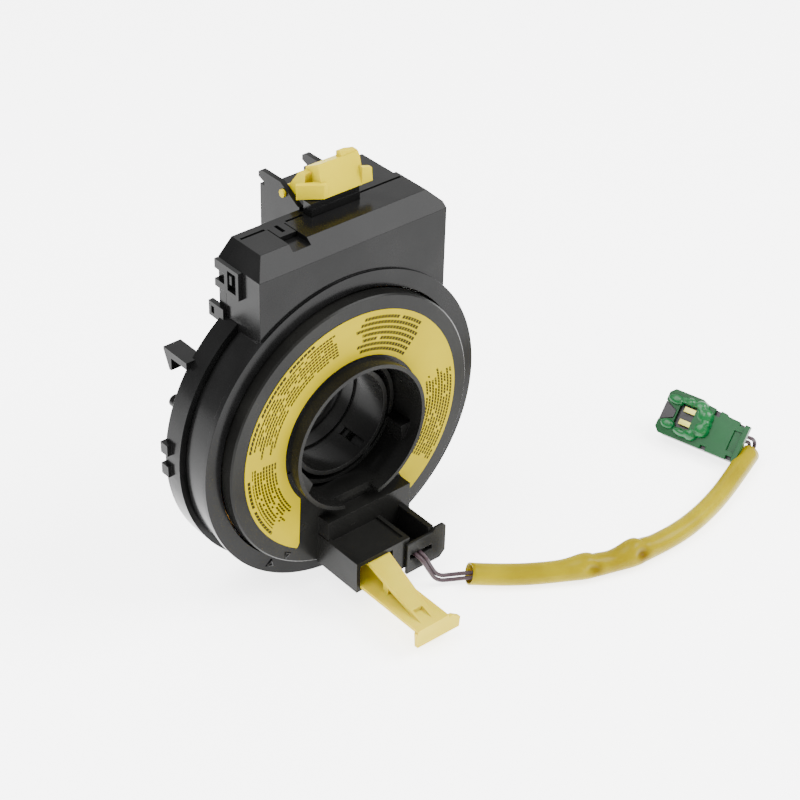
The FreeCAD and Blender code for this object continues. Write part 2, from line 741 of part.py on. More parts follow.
def build_cancel_sleeve():
    """Slotted sleeve in the hub, with the keeper flange behind the dish of the rear cover."""
    body = new_body("cancel_sleeve")
    keeper_front = "-cover_plate - 0.6"
    outer = "spigot_bore - sleeve_fit"
    turned(body, "Tube", [
        ("sleeve_bore", "-sleeve_front"),
        (outer, "-sleeve_front"),
        (outer, keeper_front),
        ("keeper_radius", keeper_front),
        ("keeper_radius", f"{keeper_front} + keeper_thick"),
        (outer, f"{keeper_front} + keeper_thick"),
        (outer, "sleeve_rear"),
        ("sleeve_bore", "sleeve_rear"),
        ("sleeve_bore", "-groove_rear"),
        ("sleeve_bore + sleeve_groove", "-groove_rear"),
        ("sleeve_bore + sleeve_groove", "-groove_front"),
        ("sleeve_bore", "-groove_front"),
    ])
    across = "slot_width / 2"
    corners = []
    for reach, side in (("sleeve_bore - 1", "-"), ("spigot_bore + 1", "-"),
                        ("spigot_bore + 1", "+"), ("sleeve_bore - 1", "+")):
        corners.append((f"({reach}) * cos(slot_turn) {side} {across} * sin(slot_turn)",
                        f"-({reach}) * sin(slot_turn) {side} {across} * cos(slot_turn)"))
    block_y(body, "Slot", corners, "-slot_front", "-groove_front", cut=True)
    return body


def build_face_label():
    """C-shaped label on the disc, cut away above the connector block."""
    body = new_body("face_label")
    front = f"{FACE} - label_thick"
    rod(body, "Ring", "XZ_Plane", "0", "0", LABEL_OUTER, front, FACE)
    rod(body, "Hole", "XZ_Plane", "0", "0", "label_inner", f"{front} - 1", f"{FACE} + 1", cut=True)
    block_y(body, "Opening", [
        ("label_left_low - label_corner", f"-{LABEL_OUTER} - 1"),
        ("label_right_low + 7", f"-{LABEL_OUTER} - 1"),
        ("label_right_low", "slab_top - 7.8"),
        ("label_right_top", "slab_top - 1"),
        ("label_right_top - 9", "-10"),
        ("label_left_top", "-10"),
        ("label_left_low", "label_left_end"),
        ("label_left_low - label_corner / 3", "label_left_end - 0.7 * label_corner"),
        ("label_left_low - label_corner", "label_left_end - 1.2 * label_corner"),
    ], f"{front} - 1", f"{FACE} + 1", cut=True)
    return body


def build_wire_plate():
    """Slotted plate in front of the wire channel that holds the two leads."""
    body = new_body("wire_plate")
    near = WPLATE_FRONT
    block_y(body, "Plate", [
        ("wplate_left", "wplate_low"),
        ("wplate_right - wplate_corner", "wplate_low"),
        ("wplate_right", "wplate_low + wplate_corner"),
        ("wplate_right", "wplate_top - wplate_corner / 2"),
        ("wplate_right - wplate_corner / 2", "wplate_top"),
        ("block_right", "wplate_top"),
        ("block_right - 1.2", "wplate_top - wplate_notch"),
        ("wplate_left", "wplate_top - wplate_notch"),
    ], near, BLOCK_FRONT)
    block_y(body, "Slot", rectangle("wslot_left + 1", "wslot_right", "wslot_z - wslot_height / 2",
                                    "wslot_z + wslot_height / 2"), f"{near} - 1", f"{BLOCK_FRONT} + 1", cut=True)
    return body


def build_lock_key():
    """Yellow shipping key: a base plate and a strip sloping down to it, joined in the socket."""
    body = new_body("lock_key")
    face = BLOCK_FRONT
    top = "key_bay_top - key_gap"
    low = "key_base_top - key_base_thick / 2"
    far = f"{face} - key_reach"
    block_z(body, "Base", rectangle("key_base_left", "key_base_right", far, f"{face} + key_tail"),
            "key_base_top - key_base_thick", "key_base_top")
    block_x(body, "Strip", [
        (f"{face} + key_tail", f"{top} - key_strip"),
        (f"{face} + key_tail", top),
        (face, top),
        (f"{face} - key_strip_end", "key_base_top"),
        (f"{face} - key_strip_end", low),
        (f"{face} - key_strip_foot", low),
        (face, f"{top} - key_strip"),
    ], "key_left", "key_right")
    block_x(body, "TailWeb", rectangle(f"{face} + key_tail - key_tail_web", f"{face} + key_tail", low,
                                       f"{top} - key_strip / 2"), "key_left", "key_right")
    block_x(body, "Rib", [
        (f"{face} - key_rib_far", low),
        (f"{face} - key_rib_near", low),
        (f"{face} - key_rib_near", f"{top} - key_strip - 1"),
        (f"{face} - key_rib_far", f"{top} - key_strip - 2"),
    ], "key_left + 0.6", "key_right - 0.6")
    block_z(body, "Narrow", [
        ("key_right", face),
        ("key_right - key_narrow", f"{face} - key_strip_end"),
        ("key_right - key_narrow", f"{far} - 1"),
        ("key_right + 1", f"{far} - 1"),
        ("key_right + 1", face),
    ], "key_base_top", "key_bay_top", cut=True)
    block_z(body, "Window", rectangle("key_window_left", "key_window_right",
                                      f"{far} - 1", f"{face} - key_window"),
            "key_base_top", "key_base_top + 3 * key_strip", cut=True)
    block_y(body, "End", [
        ("key_end_left", "key_end_top"),
        ("key_end_left + 0.4", "key_end_low + 0.4"),
        ("key_end_right - 0.4", "key_end_low"),
        ("key_end_right", "key_end_top - 0.7 * key_end_slope"),
        ("key_end_right - key_end_slope", "key_end_top"),
    ], far, f"{far} + key_end_thick")
    return body


def build_slip_sheet(label, inner, outer, front, rear):
    """Low-friction film ring."""
    body = new_body(label)
    rod(body, "Ring", "XZ_Plane", "0", "0", outer, front, rear)
    rod(body, "Hole", "XZ_Plane", "0", "0", inner, f"{front} - 1", f"{rear} + 1", cut=True)
    return body


def build_rear_slip_sheet():
    return build_slip_sheet("rear_slip_sheet", "dish_radius + run_gap",
                            f"{CASE_RADIUS} - case_wall - run_gap",
                            "-cover_plate - slip_thick", "-cover_plate")


def build_front_slip_sheet():
    back = f"{FACE} + rotor_plate"
    return build_slip_sheet("front_slip_sheet", "hub_radius + run_gap",
                            f"{ROTOR_RADIUS} - rotor_rim - run_gap",
                            back, f"{back} + slip_thick")


def build_outer_carrier():
    """Moulded end piece that clamps the ribbon's outer end under the box."""
    body = new_body("outer_carrier")
    low = "cover_radius - tape_inset + run_gap + 0.6"
    block_y(body, "Clamp", [
        ("-carrier_width / 2", low),
        ("carrier_width / 2", low),
        ("carrier_width / 2", f"{low} + 2"),
        ("carrier_width / 2 - 1", "plug_low - 0.7"),
        ("-carrier_width / 2 + 1", "plug_low - 0.7"),
        ("-carrier_width / 2", f"{low} + 2"),
    ], "-box_joint - 10.6", "-box_joint - 0.4")
    return body


def build_inner_carrier():
    """Moulded end piece that clamps the ribbon's inner end to the hub."""
    body = new_body("inner_carrier")
    low = "hub_radius + seat_gap"
    block_y(body, "Clamp", [
        ("-carrier_width / 2", f"{low} + 0.4"),
        ("0", low),
        ("carrier_width / 2", f"{low} + 0.4"),
        ("carrier_width / 2", f"{low} + carrier_thick + 0.2"),
        ("0", f"{low} + carrier_thick + 0.6"),
        ("-carrier_width / 2", f"{low} + carrier_thick + 0.2"),
    ], "-tape_front + 1", "-tape_front + 11")
    return body


def build_terminal_block():
    """Moulded bar in the box that holds the strips in front of the connector."""
    body = new_body("terminal_block")
    block_y(body, "Bar", rectangle("-carrier_width", "plug_right + 8", "plug_low + 1", "plug_roof - 3"),
            "-plug_base - 5", "-plug_base - seat_gap")
    block_y(body, "Foot", rectangle("-carrier_width", "plug_right + 8", "plug_low + 1", "plug_low + 3.5"),
            "-plug_base - 6.5", "-plug_base - 4")
    return body


def pattern_of_boxes(label, boxes):
    """Equal small pieces that share one node, each given by its low corner and its size."""
    made = doc.addObject("Part::Feature", "".join(word.title() for word in label.split("_")))
    made.Label = label
    made.Shape = Part.makeCompound([Part.makeBox(*edges, V(*corner)) for corner, edges in boxes])
    return made


def build_bus_strips():
    """Bent strips from the ribbon's end clamp up to the terminal block."""
    pitch = size("strip_width") + 0.5
    low = size("plug_low") - 0.7
    rise = 1 + 0.7
    back = -size("plug_base") - 2.4
    strips = []
    for index in range(4):
        left = (index - 2) * pitch + 0.25
        foot = Part.makeBox(size("strip_width"), 4, size("strip_thick"), V(left, back - 4, low))
        leg = Part.makeBox(size("strip_width"), size("strip_thick"), rise,
                           V(left, back - size("strip_thick"), low))
        strips.append(foot.fuse(leg).removeSplitter())
    made = doc.addObject("Part::Feature", "BusStrips")
    made.Label = "bus_strips"
    made.Shape = Part.makeCompound(strips)
    return made


def build_column_terminals():
    """Pins of the column connector, in two rows on the socket's floor."""
    side = size("pin_side")
    middle = (size("plug_left") + size("plug_right")) / 2
    heights = (size("plug_low") + 4.2, size("plug_low") + 4.2 + 1.6 * size("pin_pitch"))
    boxes = []
    for height in heights:
        for index in range(4):
            left = middle + (index - 1.5) * size("pin_pitch") - side / 2
            boxes.append(((left, size("socket_face"), height), (side, size("pin_length"), side)))
    return pattern_of_boxes("column_terminals", boxes)


def build_side_terminals():
    """Pins of the second socket."""
    side = size("pin_side")
    middle = (size("bay_left") + size("bay_right")) / 2
    height = (size("bay_low") + size("box_top")) / 2
    boxes = []
    for index in range(4):
        left = middle + (index - 1.5) * size("pin_pitch") - side / 2
        boxes.append(((left, size("socket_face"), height), (side, 0.7 * size("pin_length"), side)))
    return pattern_of_boxes("side_terminals", boxes)


def build_socket_terminals():
    """Pins at the back of the rotor's socket, beside the key."""
    side = size("pin_side")
    left = (size("key_bay_left") + size("key_left")) / 2 - side / 2
    back = -size("case_depth") - size("block_front") + size("key_bay_depth")
    boxes = []
    for index in range(3):
        height = size("key_base_top") + 1.2 + index * size("pin_pitch")
        boxes.append(((left, back - 0.7 * size("pin_length"), height), (side, 0.7 * size("pin_length"), side)))
    return pattern_of_boxes("socket_terminals", boxes)


def build_ribbon_cable():
    """Flat ribbon wound in the drum: half circles about two centres in turn make each coil grow."""
    halves = int(round(2 * size("tape_turns")))
    step = (size("cover_radius") - size("tape_inset") - size("tape_inner")) / halves
    edges = []
    for thick in (0.0, size("tape_thick")):
        radius = size("tape_inner") + thick
        side = 1
        where = V(-radius, 0, 0)
        run = []
        for _ in range(halves):
            centre = V(where.x + side * radius, 0, 0)
            top = V(centre.x, 0, side * radius)
            end = V(where.x + 2 * side * radius, 0, 0)
            run.append(Part.Arc(where, top, end).toShape())
            where = end
            side = -side
            radius += step
        edges.append(run)
    starts = [run[0].valueAt(run[0].FirstParameter) for run in edges]
    ends = [run[-1].valueAt(run[-1].LastParameter) for run in edges]
    caps = [Part.makeLine(*starts), Part.makeLine(*ends)]
    wire = Part.Wire(Part.__sortEdges__(edges[0] + edges[1] + caps))
    made = doc.addObject("Part::Feature", "RibbonCable")
    made.Label = "ribbon_cable"
    made.Shape = Part.Face(wire).extrude(V(0, size("tape_width"), 0))
    made.Placement = FreeCAD.Placement(V(0, -size("tape_front"), 0), FreeCAD.Rotation(V(0, 1, 0), 90))
    return made


# Route of the airbag lead, as a fitter would lay it: out of the slot, down, and along the bench.
SLEEVE_ROUTE = [
    (23.5, -54.0, -51.3),
    (33.5, -63.3, -51.3),
    (47.0, -72.0, -51.3),
    (62.0, -79.2, -51.3),
    (78.0, -82.6, -51.3),
    (94.0, -83.4, -51.3),
    (108.0, -81.4, -51.3),
    (121.0, -77.9, -51.3),
    (133.0, -75.0, -51.3),
    (145.0, -72.0, -51.3),
]
WIRE_A_ROUTE = [
    (9.7, -29.05, -42.7),
    (9.5, -35.4, -42.9),
    (9.7, -41.6, -42.1),
    (9.8, -47.6, -42.0),
    (12.0, -48.7, -47.0),
    (14.6, -50.0, -52.3),
    (19.6, -51.9, -53.2),
    (24.4, -56.2, -51.9),
    (33.0, -64.0, -51.3),
    (46.6, -72.8, -51.2),
    (61.7, -80.0, -51.3),
    (77.9, -83.5, -51.4),
    (94.0, -84.3, -51.3),
    (108.2, -82.3, -51.2),
    (121.3, -78.8, -51.3),
    (133.3, -75.5, -51.4),
    (143.6, -72.7, -51.2),
    (148.4, -71.4, -50.8),
    (150.0, -69.6, -48.2),
    (146.8, -68.4, -45.5),
    (144.6, -63.2, -45.2),
]
WIRE_B_ROUTE = [
    (11.6, -29.05, -42.7),
    (11.8, -35.4, -42.9),
    (11.6, -41.6, -42.1),
    (11.8, -47.3, -42.0),
    (13.8, -48.2, -46.9),
    (16.2, -49.3, -51.3),
    (21.0, -51.0, -52.0),
    (26.0, -55.0, -51.2),
    (34.1, -62.5, -51.3),
    (47.4, -71.2, -51.4),
    (62.3, -78.4, -51.3),
    (78.1, -81.7, -51.2),
    (94.0, -82.5, -51.3),
    (107.8, -80.5, -51.4),
    (120.7, -77.0, -51.3),
    (132.7, -73.7, -51.2),
    (143.2, -71.0, -51.2),
    (147.4, -70.0, -50.6),
    (147.9, -68.4, -48.2),
    (145.2, -67.4, -47.2),
    (143.8, -63.2, -46.9),
]


def rounded_path(label, points):
    """Straight runs joined by tangent arcs, each as large as its two runs allow."""
    spots = [V(*point) for point in points]
    edges = []
    where = spots[0]
    radii = []
    for index in range(1, len(spots) - 1):
        before = spots[index] - spots[index - 1]
        after = spots[index + 1] - spots[index]
        half = before.getAngle(after) / 2
        reach = 0.45 * min(before.Length, after.Length)
        radius = reach / math.tan(half)
        radii.append(round(radius, 1))
        inward = V(before).normalize()
        outward = V(after).normalize()
        start = spots[index] - inward * reach
        end = spots[index] + outward * reach
        towards = (outward - inward).normalize()
        middle = spots[index] + towards * (radius / math.cos(half) - radius)
        edges.append(Part.LineSegment(where, start).toShape())
        edges.append(Part.Arc(start, middle, end).toShape())
        where = end
    edges.append(Part.LineSegment(where, spots[-1]).toShape())
    wire = Part.Wire(edges)
    print(label, "length", round(wire.Length, 1), "radii", radii)
    return wire


def swept(wire, radius):
    """A round section carried along the path."""
    first = wire.Edges[0]
    start = first.valueAt(first.FirstParameter)
    ring = Part.Wire([Part.makeCircle(radius, start, first.tangentAt(first.FirstParameter))])
    solid = wire.makePipeShell([ring], True, False)
    volume = math.pi * radius * radius * wire.Length
    if abs(solid.Volume / volume - 1) > 0.01:
        raise RuntimeError(f"sweep of radius {radius} has volume {solid.Volume}, not {volume}")
    return solid


def cord_piece(label, points, radius, bore=0.0):
    made = doc.addObject("Part::Feature", "".join(word.title() for word in label.split("_")))
    made.Label = label
    wire = rounded_path(label, points)
    solid = swept(wire, radius)
    if bore:
        solid = solid.cut(swept(wire, bore))
    made.Shape = solid
    return made


def build_lead_sleeve():
    return cord_piece("lead_sleeve", SLEEVE_ROUTE, size("tube_radius"), size("tube_bore"))


def build_lead_wire_a():
    return cord_piece("lead_wire_a", WIRE_A_ROUTE, size("wire_radius"))


def build_lead_wire_b():
    return cord_piece("lead_wire_b", WIRE_B_ROUTE, size("wire_radius"))


# The plug lies on its back edge: its length, its width up the face, and the way its face looks.
HEAD_CORNER = V(127.7, -38.2, -49.4)
HEAD_ALONG = V(0.243, -0.970, 0.0).normalize()
HEAD_LEAN = math.radians(46)


def head_placement():
    """Placement of the plug's own frame: X along it, Y up its face and Z out of its face."""
    level = V(-HEAD_ALONG.y, HEAD_ALONG.x, 0)
    across = level * math.cos(HEAD_LEAN) + V(0, 0, 1) * math.sin(HEAD_LEAN)
    facing = HEAD_ALONG.cross(across)
    return FreeCAD.Placement(HEAD_CORNER, FreeCAD.Rotation(HEAD_ALONG, across, facing, "ZXY"))


HEAD_BACK = "-head_thick + shell_thick"
HEAD_LID = f"({HEAD_BACK} + 0.05 + lid_thick)"


def head_outline(inset, end):
    """The plug seen on its face: wider about its head, with cut corners."""
    wide = f"head_width + head_bulge - ({inset})"
    return [
        ("head_corner", inset),
        (end, inset),
        (end, f"head_width - ({inset})"),
        ("catch_first + catch_length + 3", f"head_width + 0.6 - ({inset})"),
        ("catch_first + catch_length + 2.4", f"head_width + 1.2 - ({inset})"),
        ("catch_first - 3", f"head_width + 1.8 - ({inset})"),
        ("knob_x", wide),
        ("head_corner", wide),
        (f"({inset}) / 2", f"{wide} - head_corner"),
        (f"({inset}) / 2", "head_corner"),
    ]


def build_plug_body():
    """Black housing of the airbag plug."""
    body = new_body("plug_body")
    block_z(body, "Shell", head_outline("0.3", "head_length - body_end"), "-head_thick", HEAD_BACK)
    block_z(body, "Nose", [
        ("0.2", "wedge_low - 0.4"),
        ("wedge_tip - 0.2", "wedge_low + 1.9"),
        ("wedge_tip - 0.2", "wedge_high - 2.4"),
        ("0.2", "wedge_high - 0.1"),
    ], f"{HEAD_BACK} - 1", f"{HEAD_LID} - 0.2")
    body.Placement = head_placement()
    return body


def build_plug_cover():
    """Green cover of the airbag plug, with the round head about its contacts."""
    body = new_body("plug_cover")
    low = f"{HEAD_BACK} + 0.05"
    block_z(body, "Lid", head_outline("0", "head_length"), low, HEAD_LID)
    block_z(body, "Wedge", [
        ("-1", "wedge_low - 0.9"),
        ("0", "wedge_low - 0.6"),
        ("wedge_tip", "wedge_low + 1.6"),
        ("wedge_tip", "wedge_high - 2.1"),
        ("0", "wedge_high + 0.2"),
        ("-1", "wedge_high + 0.6"),
    ], f"{low} - 1", f"{HEAD_LID} + 1", cut=True)
    rod(body, "Head", "XY_Plane", "knob_x", "knob_y", "knob_radius", f"{HEAD_LID} - 0.5", "knob_high")
    block_z(body, "EndRim", rectangle("head_length - window_end", "head_length", "0.4", "head_width - 0.4"),
            f"{HEAD_LID} - 0.5", f"{HEAD_LID} + rim_proud")
    block_z(body, "Well", rectangle("well_left", "well_right", "well_low", "well_high"), f"{low} - 1",
            "knob_high + 1", cut=True)
    for index, first in enumerate(("catch_first", "catch_first + catch_pitch")):
        for side, (start, end) in enumerate((("-1", "catch_depth"),
                                             ("head_width - catch_depth + 0.6", "head_width + head_bulge"))):
            block_z(body, f"Catch{index}{side}", rectangle(first, f"{first} + catch_length", start, end),
                    f"{low} - 1", f"{HEAD_LID} + 1", cut=True)
    end = "head_length - window_end"
    block_z(body, "Window", rectangle(f"{end} - window_length", end, "window_margin", "head_width - window_margin"),
            f"{HEAD_LID} - lid_thick / 2", f"{HEAD_LID} + 1", cut=True)
    body.Placement = head_placement()
    return body


def build_plug_contacts():
    """The two contacts in the head's well."""
    low = -size("head_thick") + size("shell_thick") + 0.05
    edges = (size("contact_length"), size("contact_width"), size("contact_thick"))
    boxes = []
    for index in range(2):
        near = size("contact_low") + index * size("contact_pitch")
        boxes.append(((size("contact_left"), near, low), edges))
    made = pattern_of_boxes("plug_contacts", boxes)
    made.Placement = head_placement()
    return made


BUILDERS = [
    build_front_case,
    build_rear_cover,
    build_connector_body,
    build_connector_lever,
    build_rotor,
    build_cancel_sleeve,
    build_face_label,
    build_wire_plate,
    build_lock_key,
    build_rear_slip_sheet,
    build_front_slip_sheet,
    build_outer_carrier,
    build_inner_carrier,
    build_terminal_block,
    build_bus_strips,
    build_column_terminals,
    build_side_terminals,
    build_socket_terminals,
    build_ribbon_cable,
    build_lead_sleeve,
    build_lead_wire_a,
    build_lead_wire_b,
    build_plug_body,
    build_plug_cover,
    build_plug_contacts,
]
bodies = [build() for build in BUILDERS]
doc.recompute()
for item in doc.Objects:
    if "Invalid" in item.State or "Error" in item.State:
        raise RuntimeError(f"{item.Name} is {item.State}")
for item in bodies:
    shape = item.Shape
    print(item.Label, shape.isValid(), len(shape.Solids), round(shape.Volume, 1), shape.BoundBox)
    shape.exportStep(f"parts/{item.Label}.step")
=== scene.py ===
import json
import math

import bpy
import numpy as np
from mathutils import Matrix, Vector


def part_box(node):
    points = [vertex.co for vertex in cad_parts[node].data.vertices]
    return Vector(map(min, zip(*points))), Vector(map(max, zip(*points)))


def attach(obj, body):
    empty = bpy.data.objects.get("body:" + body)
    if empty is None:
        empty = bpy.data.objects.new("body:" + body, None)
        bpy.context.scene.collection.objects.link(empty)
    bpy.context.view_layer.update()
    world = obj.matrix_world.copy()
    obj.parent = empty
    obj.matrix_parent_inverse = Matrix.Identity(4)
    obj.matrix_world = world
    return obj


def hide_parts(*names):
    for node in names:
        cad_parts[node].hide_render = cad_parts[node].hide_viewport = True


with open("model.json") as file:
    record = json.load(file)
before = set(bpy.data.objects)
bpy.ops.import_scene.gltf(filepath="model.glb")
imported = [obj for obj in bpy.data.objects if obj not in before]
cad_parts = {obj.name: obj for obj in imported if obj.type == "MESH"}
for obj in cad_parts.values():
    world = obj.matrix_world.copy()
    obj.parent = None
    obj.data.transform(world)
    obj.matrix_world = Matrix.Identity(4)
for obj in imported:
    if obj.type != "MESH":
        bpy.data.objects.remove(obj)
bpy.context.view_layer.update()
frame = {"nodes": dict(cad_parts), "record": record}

bl_info = {
    "name": "Steering clock spring",
    "version": (1, 0, 0),
    "blender": (4, 5, 0),
    "location": "View3D > Sidebar > Clock spring",
    "description": "Dresses a steering clock spring with its label, lead, sleeve and plug",
    "category": "Object",
}

# Lengths are in millimetres, and are multiplied by MM where a mesh or a node takes them. Only the
# panel's settings and the lamps' places are in metres.
MM = 0.001
NODES = frame["nodes"]
ROTOR_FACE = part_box("face_label")[1].y / MM
FLANGE_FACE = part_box("front_case")[0].y / MM
BENCH_TOP = -55.05
STATOR = "stator"
TURNING = "turning"

# Control points of the lead on the bench and in the rotor's slot
SLEEVE_ROUTE = [
    (23.5, -54.0, -51.3), (33.5, -63.3, -51.3), (47.0, -72.0, -51.3), (62.0, -79.2, -51.3),
    (78.0, -82.6, -51.3), (94.0, -83.4, -51.3), (108.0, -81.4, -51.3), (121.0, -77.9, -51.3),
    (134.0, -73.2, -51.3), (146.0, -68.6, -51.3),
]
WIRE_ROUTES = {
    "lead_wire_a": [
        (9.7, -29.05, -42.7), (9.5, -35.4, -42.9), (9.7, -41.6, -42.1), (9.8, -47.6, -42.0),
        (12.0, -48.7, -47.0), (14.6, -50.0, -52.3), (19.6, -51.9, -53.2), (24.4, -56.2, -51.9),
        (33.0, -64.0, -51.3), (46.6, -72.8, -51.2), (61.7, -80.0, -51.3), (77.9, -83.5, -51.4),
        (94.0, -84.3, -51.3), (108.2, -82.3, -51.2), (121.3, -78.8, -51.3), (134.2, -73.9, -51.4),
        (144.6, -69.4, -51.2), (148.8, -68.2, -50.9), (150.2, -67.3, -48.3), (147.4, -66.9, -45.6),
        (144.6, -63.2, -45.2),
    ],
    "lead_wire_b": [
        (11.6, -29.05, -42.7), (11.8, -35.4, -42.9), (11.6, -41.6, -42.1), (11.6, -47.3, -42.0),
        (13.4, -48.3, -46.8), (15.7, -49.5, -51.2), (20.4, -51.2, -51.9), (25.3, -55.4, -50.8),
        (34.1, -62.5, -51.3), (47.4, -71.2, -51.4), (62.3, -78.4, -51.3), (78.1, -81.7, -51.2),
        (94.0, -82.5, -51.3), (107.8, -80.5, -51.4), (120.7, -77.0, -51.3), (133.6, -72.0, -51.2),
        (144.2, -67.8, -51.2), (147.8, -66.9, -50.7), (148.4, -66.2, -48.6), (145.8, -66.2, -47.1),
        (143.8, -63.2, -46.9),
    ],
}


def in_metres(points):
    return [tuple(MM * value for value in point) for point in points]


# Settings that the panel shows

def colour(name, description, default):
    """A colour setting as linear red, green and blue."""
    return bpy.props.FloatVectorProperty(
        name=name, description=description, default=default, subtype="COLOR", min=0.0, max=1.0)


class ClockSpringColours(bpy.types.PropertyGroup):
    case: colour("Case", "Black of the case and its connector", (0.003, 0.003, 0.003))
    rotor: colour("Rotor", "Black of the turning side", (0.0055, 0.0055, 0.0052))
    label: colour("Label", "Yellow of the face label", (0.28, 0.22, 0.0))
    print_ink: colour("Print", "Ink of the rows on the label", (0.02, 0.016, 0.002))
    wires: colour("Wires", "Insulation of the two wires", (0.022, 0.013, 0.017))
    sleeve: colour("Sleeve", "Yellow of the sleeve over the wires", (0.19, 0.145, 0.0))
    # Painted shade: the deeper amber mixed into the sleeve's yellow in and between its folds
    painted_fold_shade: colour("Painted fold shade", "Amber where the sleeve is kinked", (0.07, 0.035, 0.0))
    plug: colour("Plug", "Black of the plug's housing", (0.01, 0.008, 0.01))
    plug_cover: colour("Plug cover", "Green of the plug's cover", (0.001, 0.037, 0.008))
    # Plug head: a lighter copy of the cover's green, which is painted light on the lobes
    plug_head: colour("Plug head", "Green of the lobes round the contacts", (0.002, 0.06, 0.014))
    contacts: colour("Contacts", "Gilt of the plug's contacts", (0.3, 0.29, 0.06))
    key: colour("Key", "Yellow of the pull-out key", (0.42, 0.335, 0.015))
    lever: colour("Lever", "Yellow of the locking lever", (0.42, 0.33, 0.0))


class ClockSpringLead(bpy.types.PropertyGroup):
    wire_diameter: bpy.props.FloatProperty(
        name="Wire", description="Diameter of each wire", default=0.0014, unit="LENGTH")
    sleeve_diameter: bpy.props.FloatProperty(
        name="Sleeve", description="Outer diameter of the sleeve", default=0.0074, unit="LENGTH")
    sleeve_wall: bpy.props.FloatProperty(
        name="Sleeve wall", description="Wall of the sleeve", default=0.0005, unit="LENGTH")


class ClockSpringStage(bpy.types.PropertyGroup):
    bench_reach: bpy.props.FloatProperty(
        name="Bench", description="Half the width of the bench", default=12.0, unit="LENGTH")
    bench_glow: bpy.props.FloatProperty(
        name="Bench glow", description="Light from the bench itself", default=3.4)
    room_light: bpy.props.FloatProperty(
        name="Room", description="Strength of the room light", default=1.1)
    top_light: bpy.props.FloatProperty(
        name="Top", description="Power of the top light", default=19.0, unit="POWER")
    front_light: bpy.props.FloatProperty(
        name="Front", description="Power of the front light", default=24.0, unit="POWER")
    back_light: bpy.props.FloatProperty(
        name="Back", description="Power of the back light", default=3.4, unit="POWER")


# Shader groups that several finishes share

GROUPS = {}


def new_group(name, inputs, outputs):
    """An empty shader group with named sockets; each input is (name, kind, default)."""
    group = bpy.data.node_groups.new(name, "ShaderNodeTree")
    for label, kind, default in inputs:
        socket = group.interface.new_socket(name=label, in_out="INPUT", socket_type=kind)
        if default is not None:
            socket.default_value = default
    for label, kind in outputs:
        group.interface.new_socket(name=label, in_out="OUTPUT", socket_type=kind)
    return group, group.nodes.new("NodeGroupInput"), group.nodes.new("NodeGroupOutput")


def mould_grain_group():
    """Fine grain over slow sink waves as a normal. A third, patchy noise goes out as it is, and as
    roughness: the given roughness plus patchiness times the noise."""
    group, start, end = new_group(
        "MouldGrain",
        [
            ("Depth", "NodeSocketFloat", 0.2),
            ("Waves", "NodeSocketFloat", 0.2),
            ("Roughness", "NodeSocketFloat", 0.4),
            ("Patchiness", "NodeSocketFloat", 0.1),
        ],
        [
            ("Normal", "NodeSocketVector"),
            ("Roughness", "NodeSocketFloat"),
            ("Patches", "NodeSocketFloat"),
        ],
    )
    nodes, links = group.nodes, group.links
    place = nodes.new("ShaderNodeTexCoord")

    def noise(scale, detail):
        """Noise on the piece's own coordinates, with so many cells to the metre."""
        node = nodes.new("ShaderNodeTexNoise")
        node.inputs["Scale"].default_value = scale
        node.inputs["Detail"].default_value = detail
        links.new(place.outputs["Object"], node.inputs["Vector"])
        return node.outputs["Fac"]

    def relief(height, strength, distance):
        node = nodes.new("ShaderNodeBump")
        node.inputs["Distance"].default_value = distance * MM
        links.new(strength, node.inputs["Strength"])
        links.new(height, node.inputs["Height"])
        return node

    waves = relief(noise(70.0, 1.0), start.outputs["Waves"], 0.6)
    grain = relief(noise(2600.0, 3.0), start.outputs["Depth"], 0.03)
    links.new(waves.outputs["Normal"], grain.inputs["Normal"])
    links.new(grain.outputs["Normal"], end.inputs["Normal"])
    patches = noise(42.0, 6.0)
    spread = nodes.new("ShaderNodeMath")
    spread.operation = "MULTIPLY_ADD"
    links.new(patches, spread.inputs[0])
    links.new(start.outputs["Patchiness"], spread.inputs[1])
    links.new(start.outputs["Roughness"], spread.inputs[2])
    links.new(spread.outputs["Value"], end.inputs["Roughness"])
    links.new(patches, end.inputs["Patches"])
    return group


def two_tone_group():
    """One colour drifting into another with a slow mask, as pigment does in a moulding."""
    group, start, end = new_group(
        "PigmentDrift",
        [
            ("Mask", "NodeSocketFloat", 0.5),
            ("Main", "NodeSocketColor", None),
            ("Other", "NodeSocketColor", None),
            ("Low", "NodeSocketFloat", 0.4),
            ("High", "NodeSocketFloat", 0.7),
        ],
        [("Color", "NodeSocketColor")],
    )
    nodes, links = group.nodes, group.links
    span = nodes.new("ShaderNodeMapRange")
    links.new(start.outputs["Mask"], span.inputs["Value"])
    links.new(start.outputs["Low"], span.inputs["From Min"])
    links.new(start.outputs["High"], span.inputs["From Max"])
    mix = nodes.new("ShaderNodeMix")
    mix.data_type = "RGBA"
    links.new(span.outputs["Result"], mix.inputs["Factor"])
    links.new(start.outputs["Main"], mix.inputs["A"])
    links.new(start.outputs["Other"], mix.inputs["B"])
    links.new(mix.outputs["Result"], end.inputs["Color"])
    return group


# Share of a row's pitch and of a bar's cell that is inked, and how ragged the rows end
ROW_INKED = 0.62
BAR_INKED = 0.86
ROW_RAGGED = 0.12


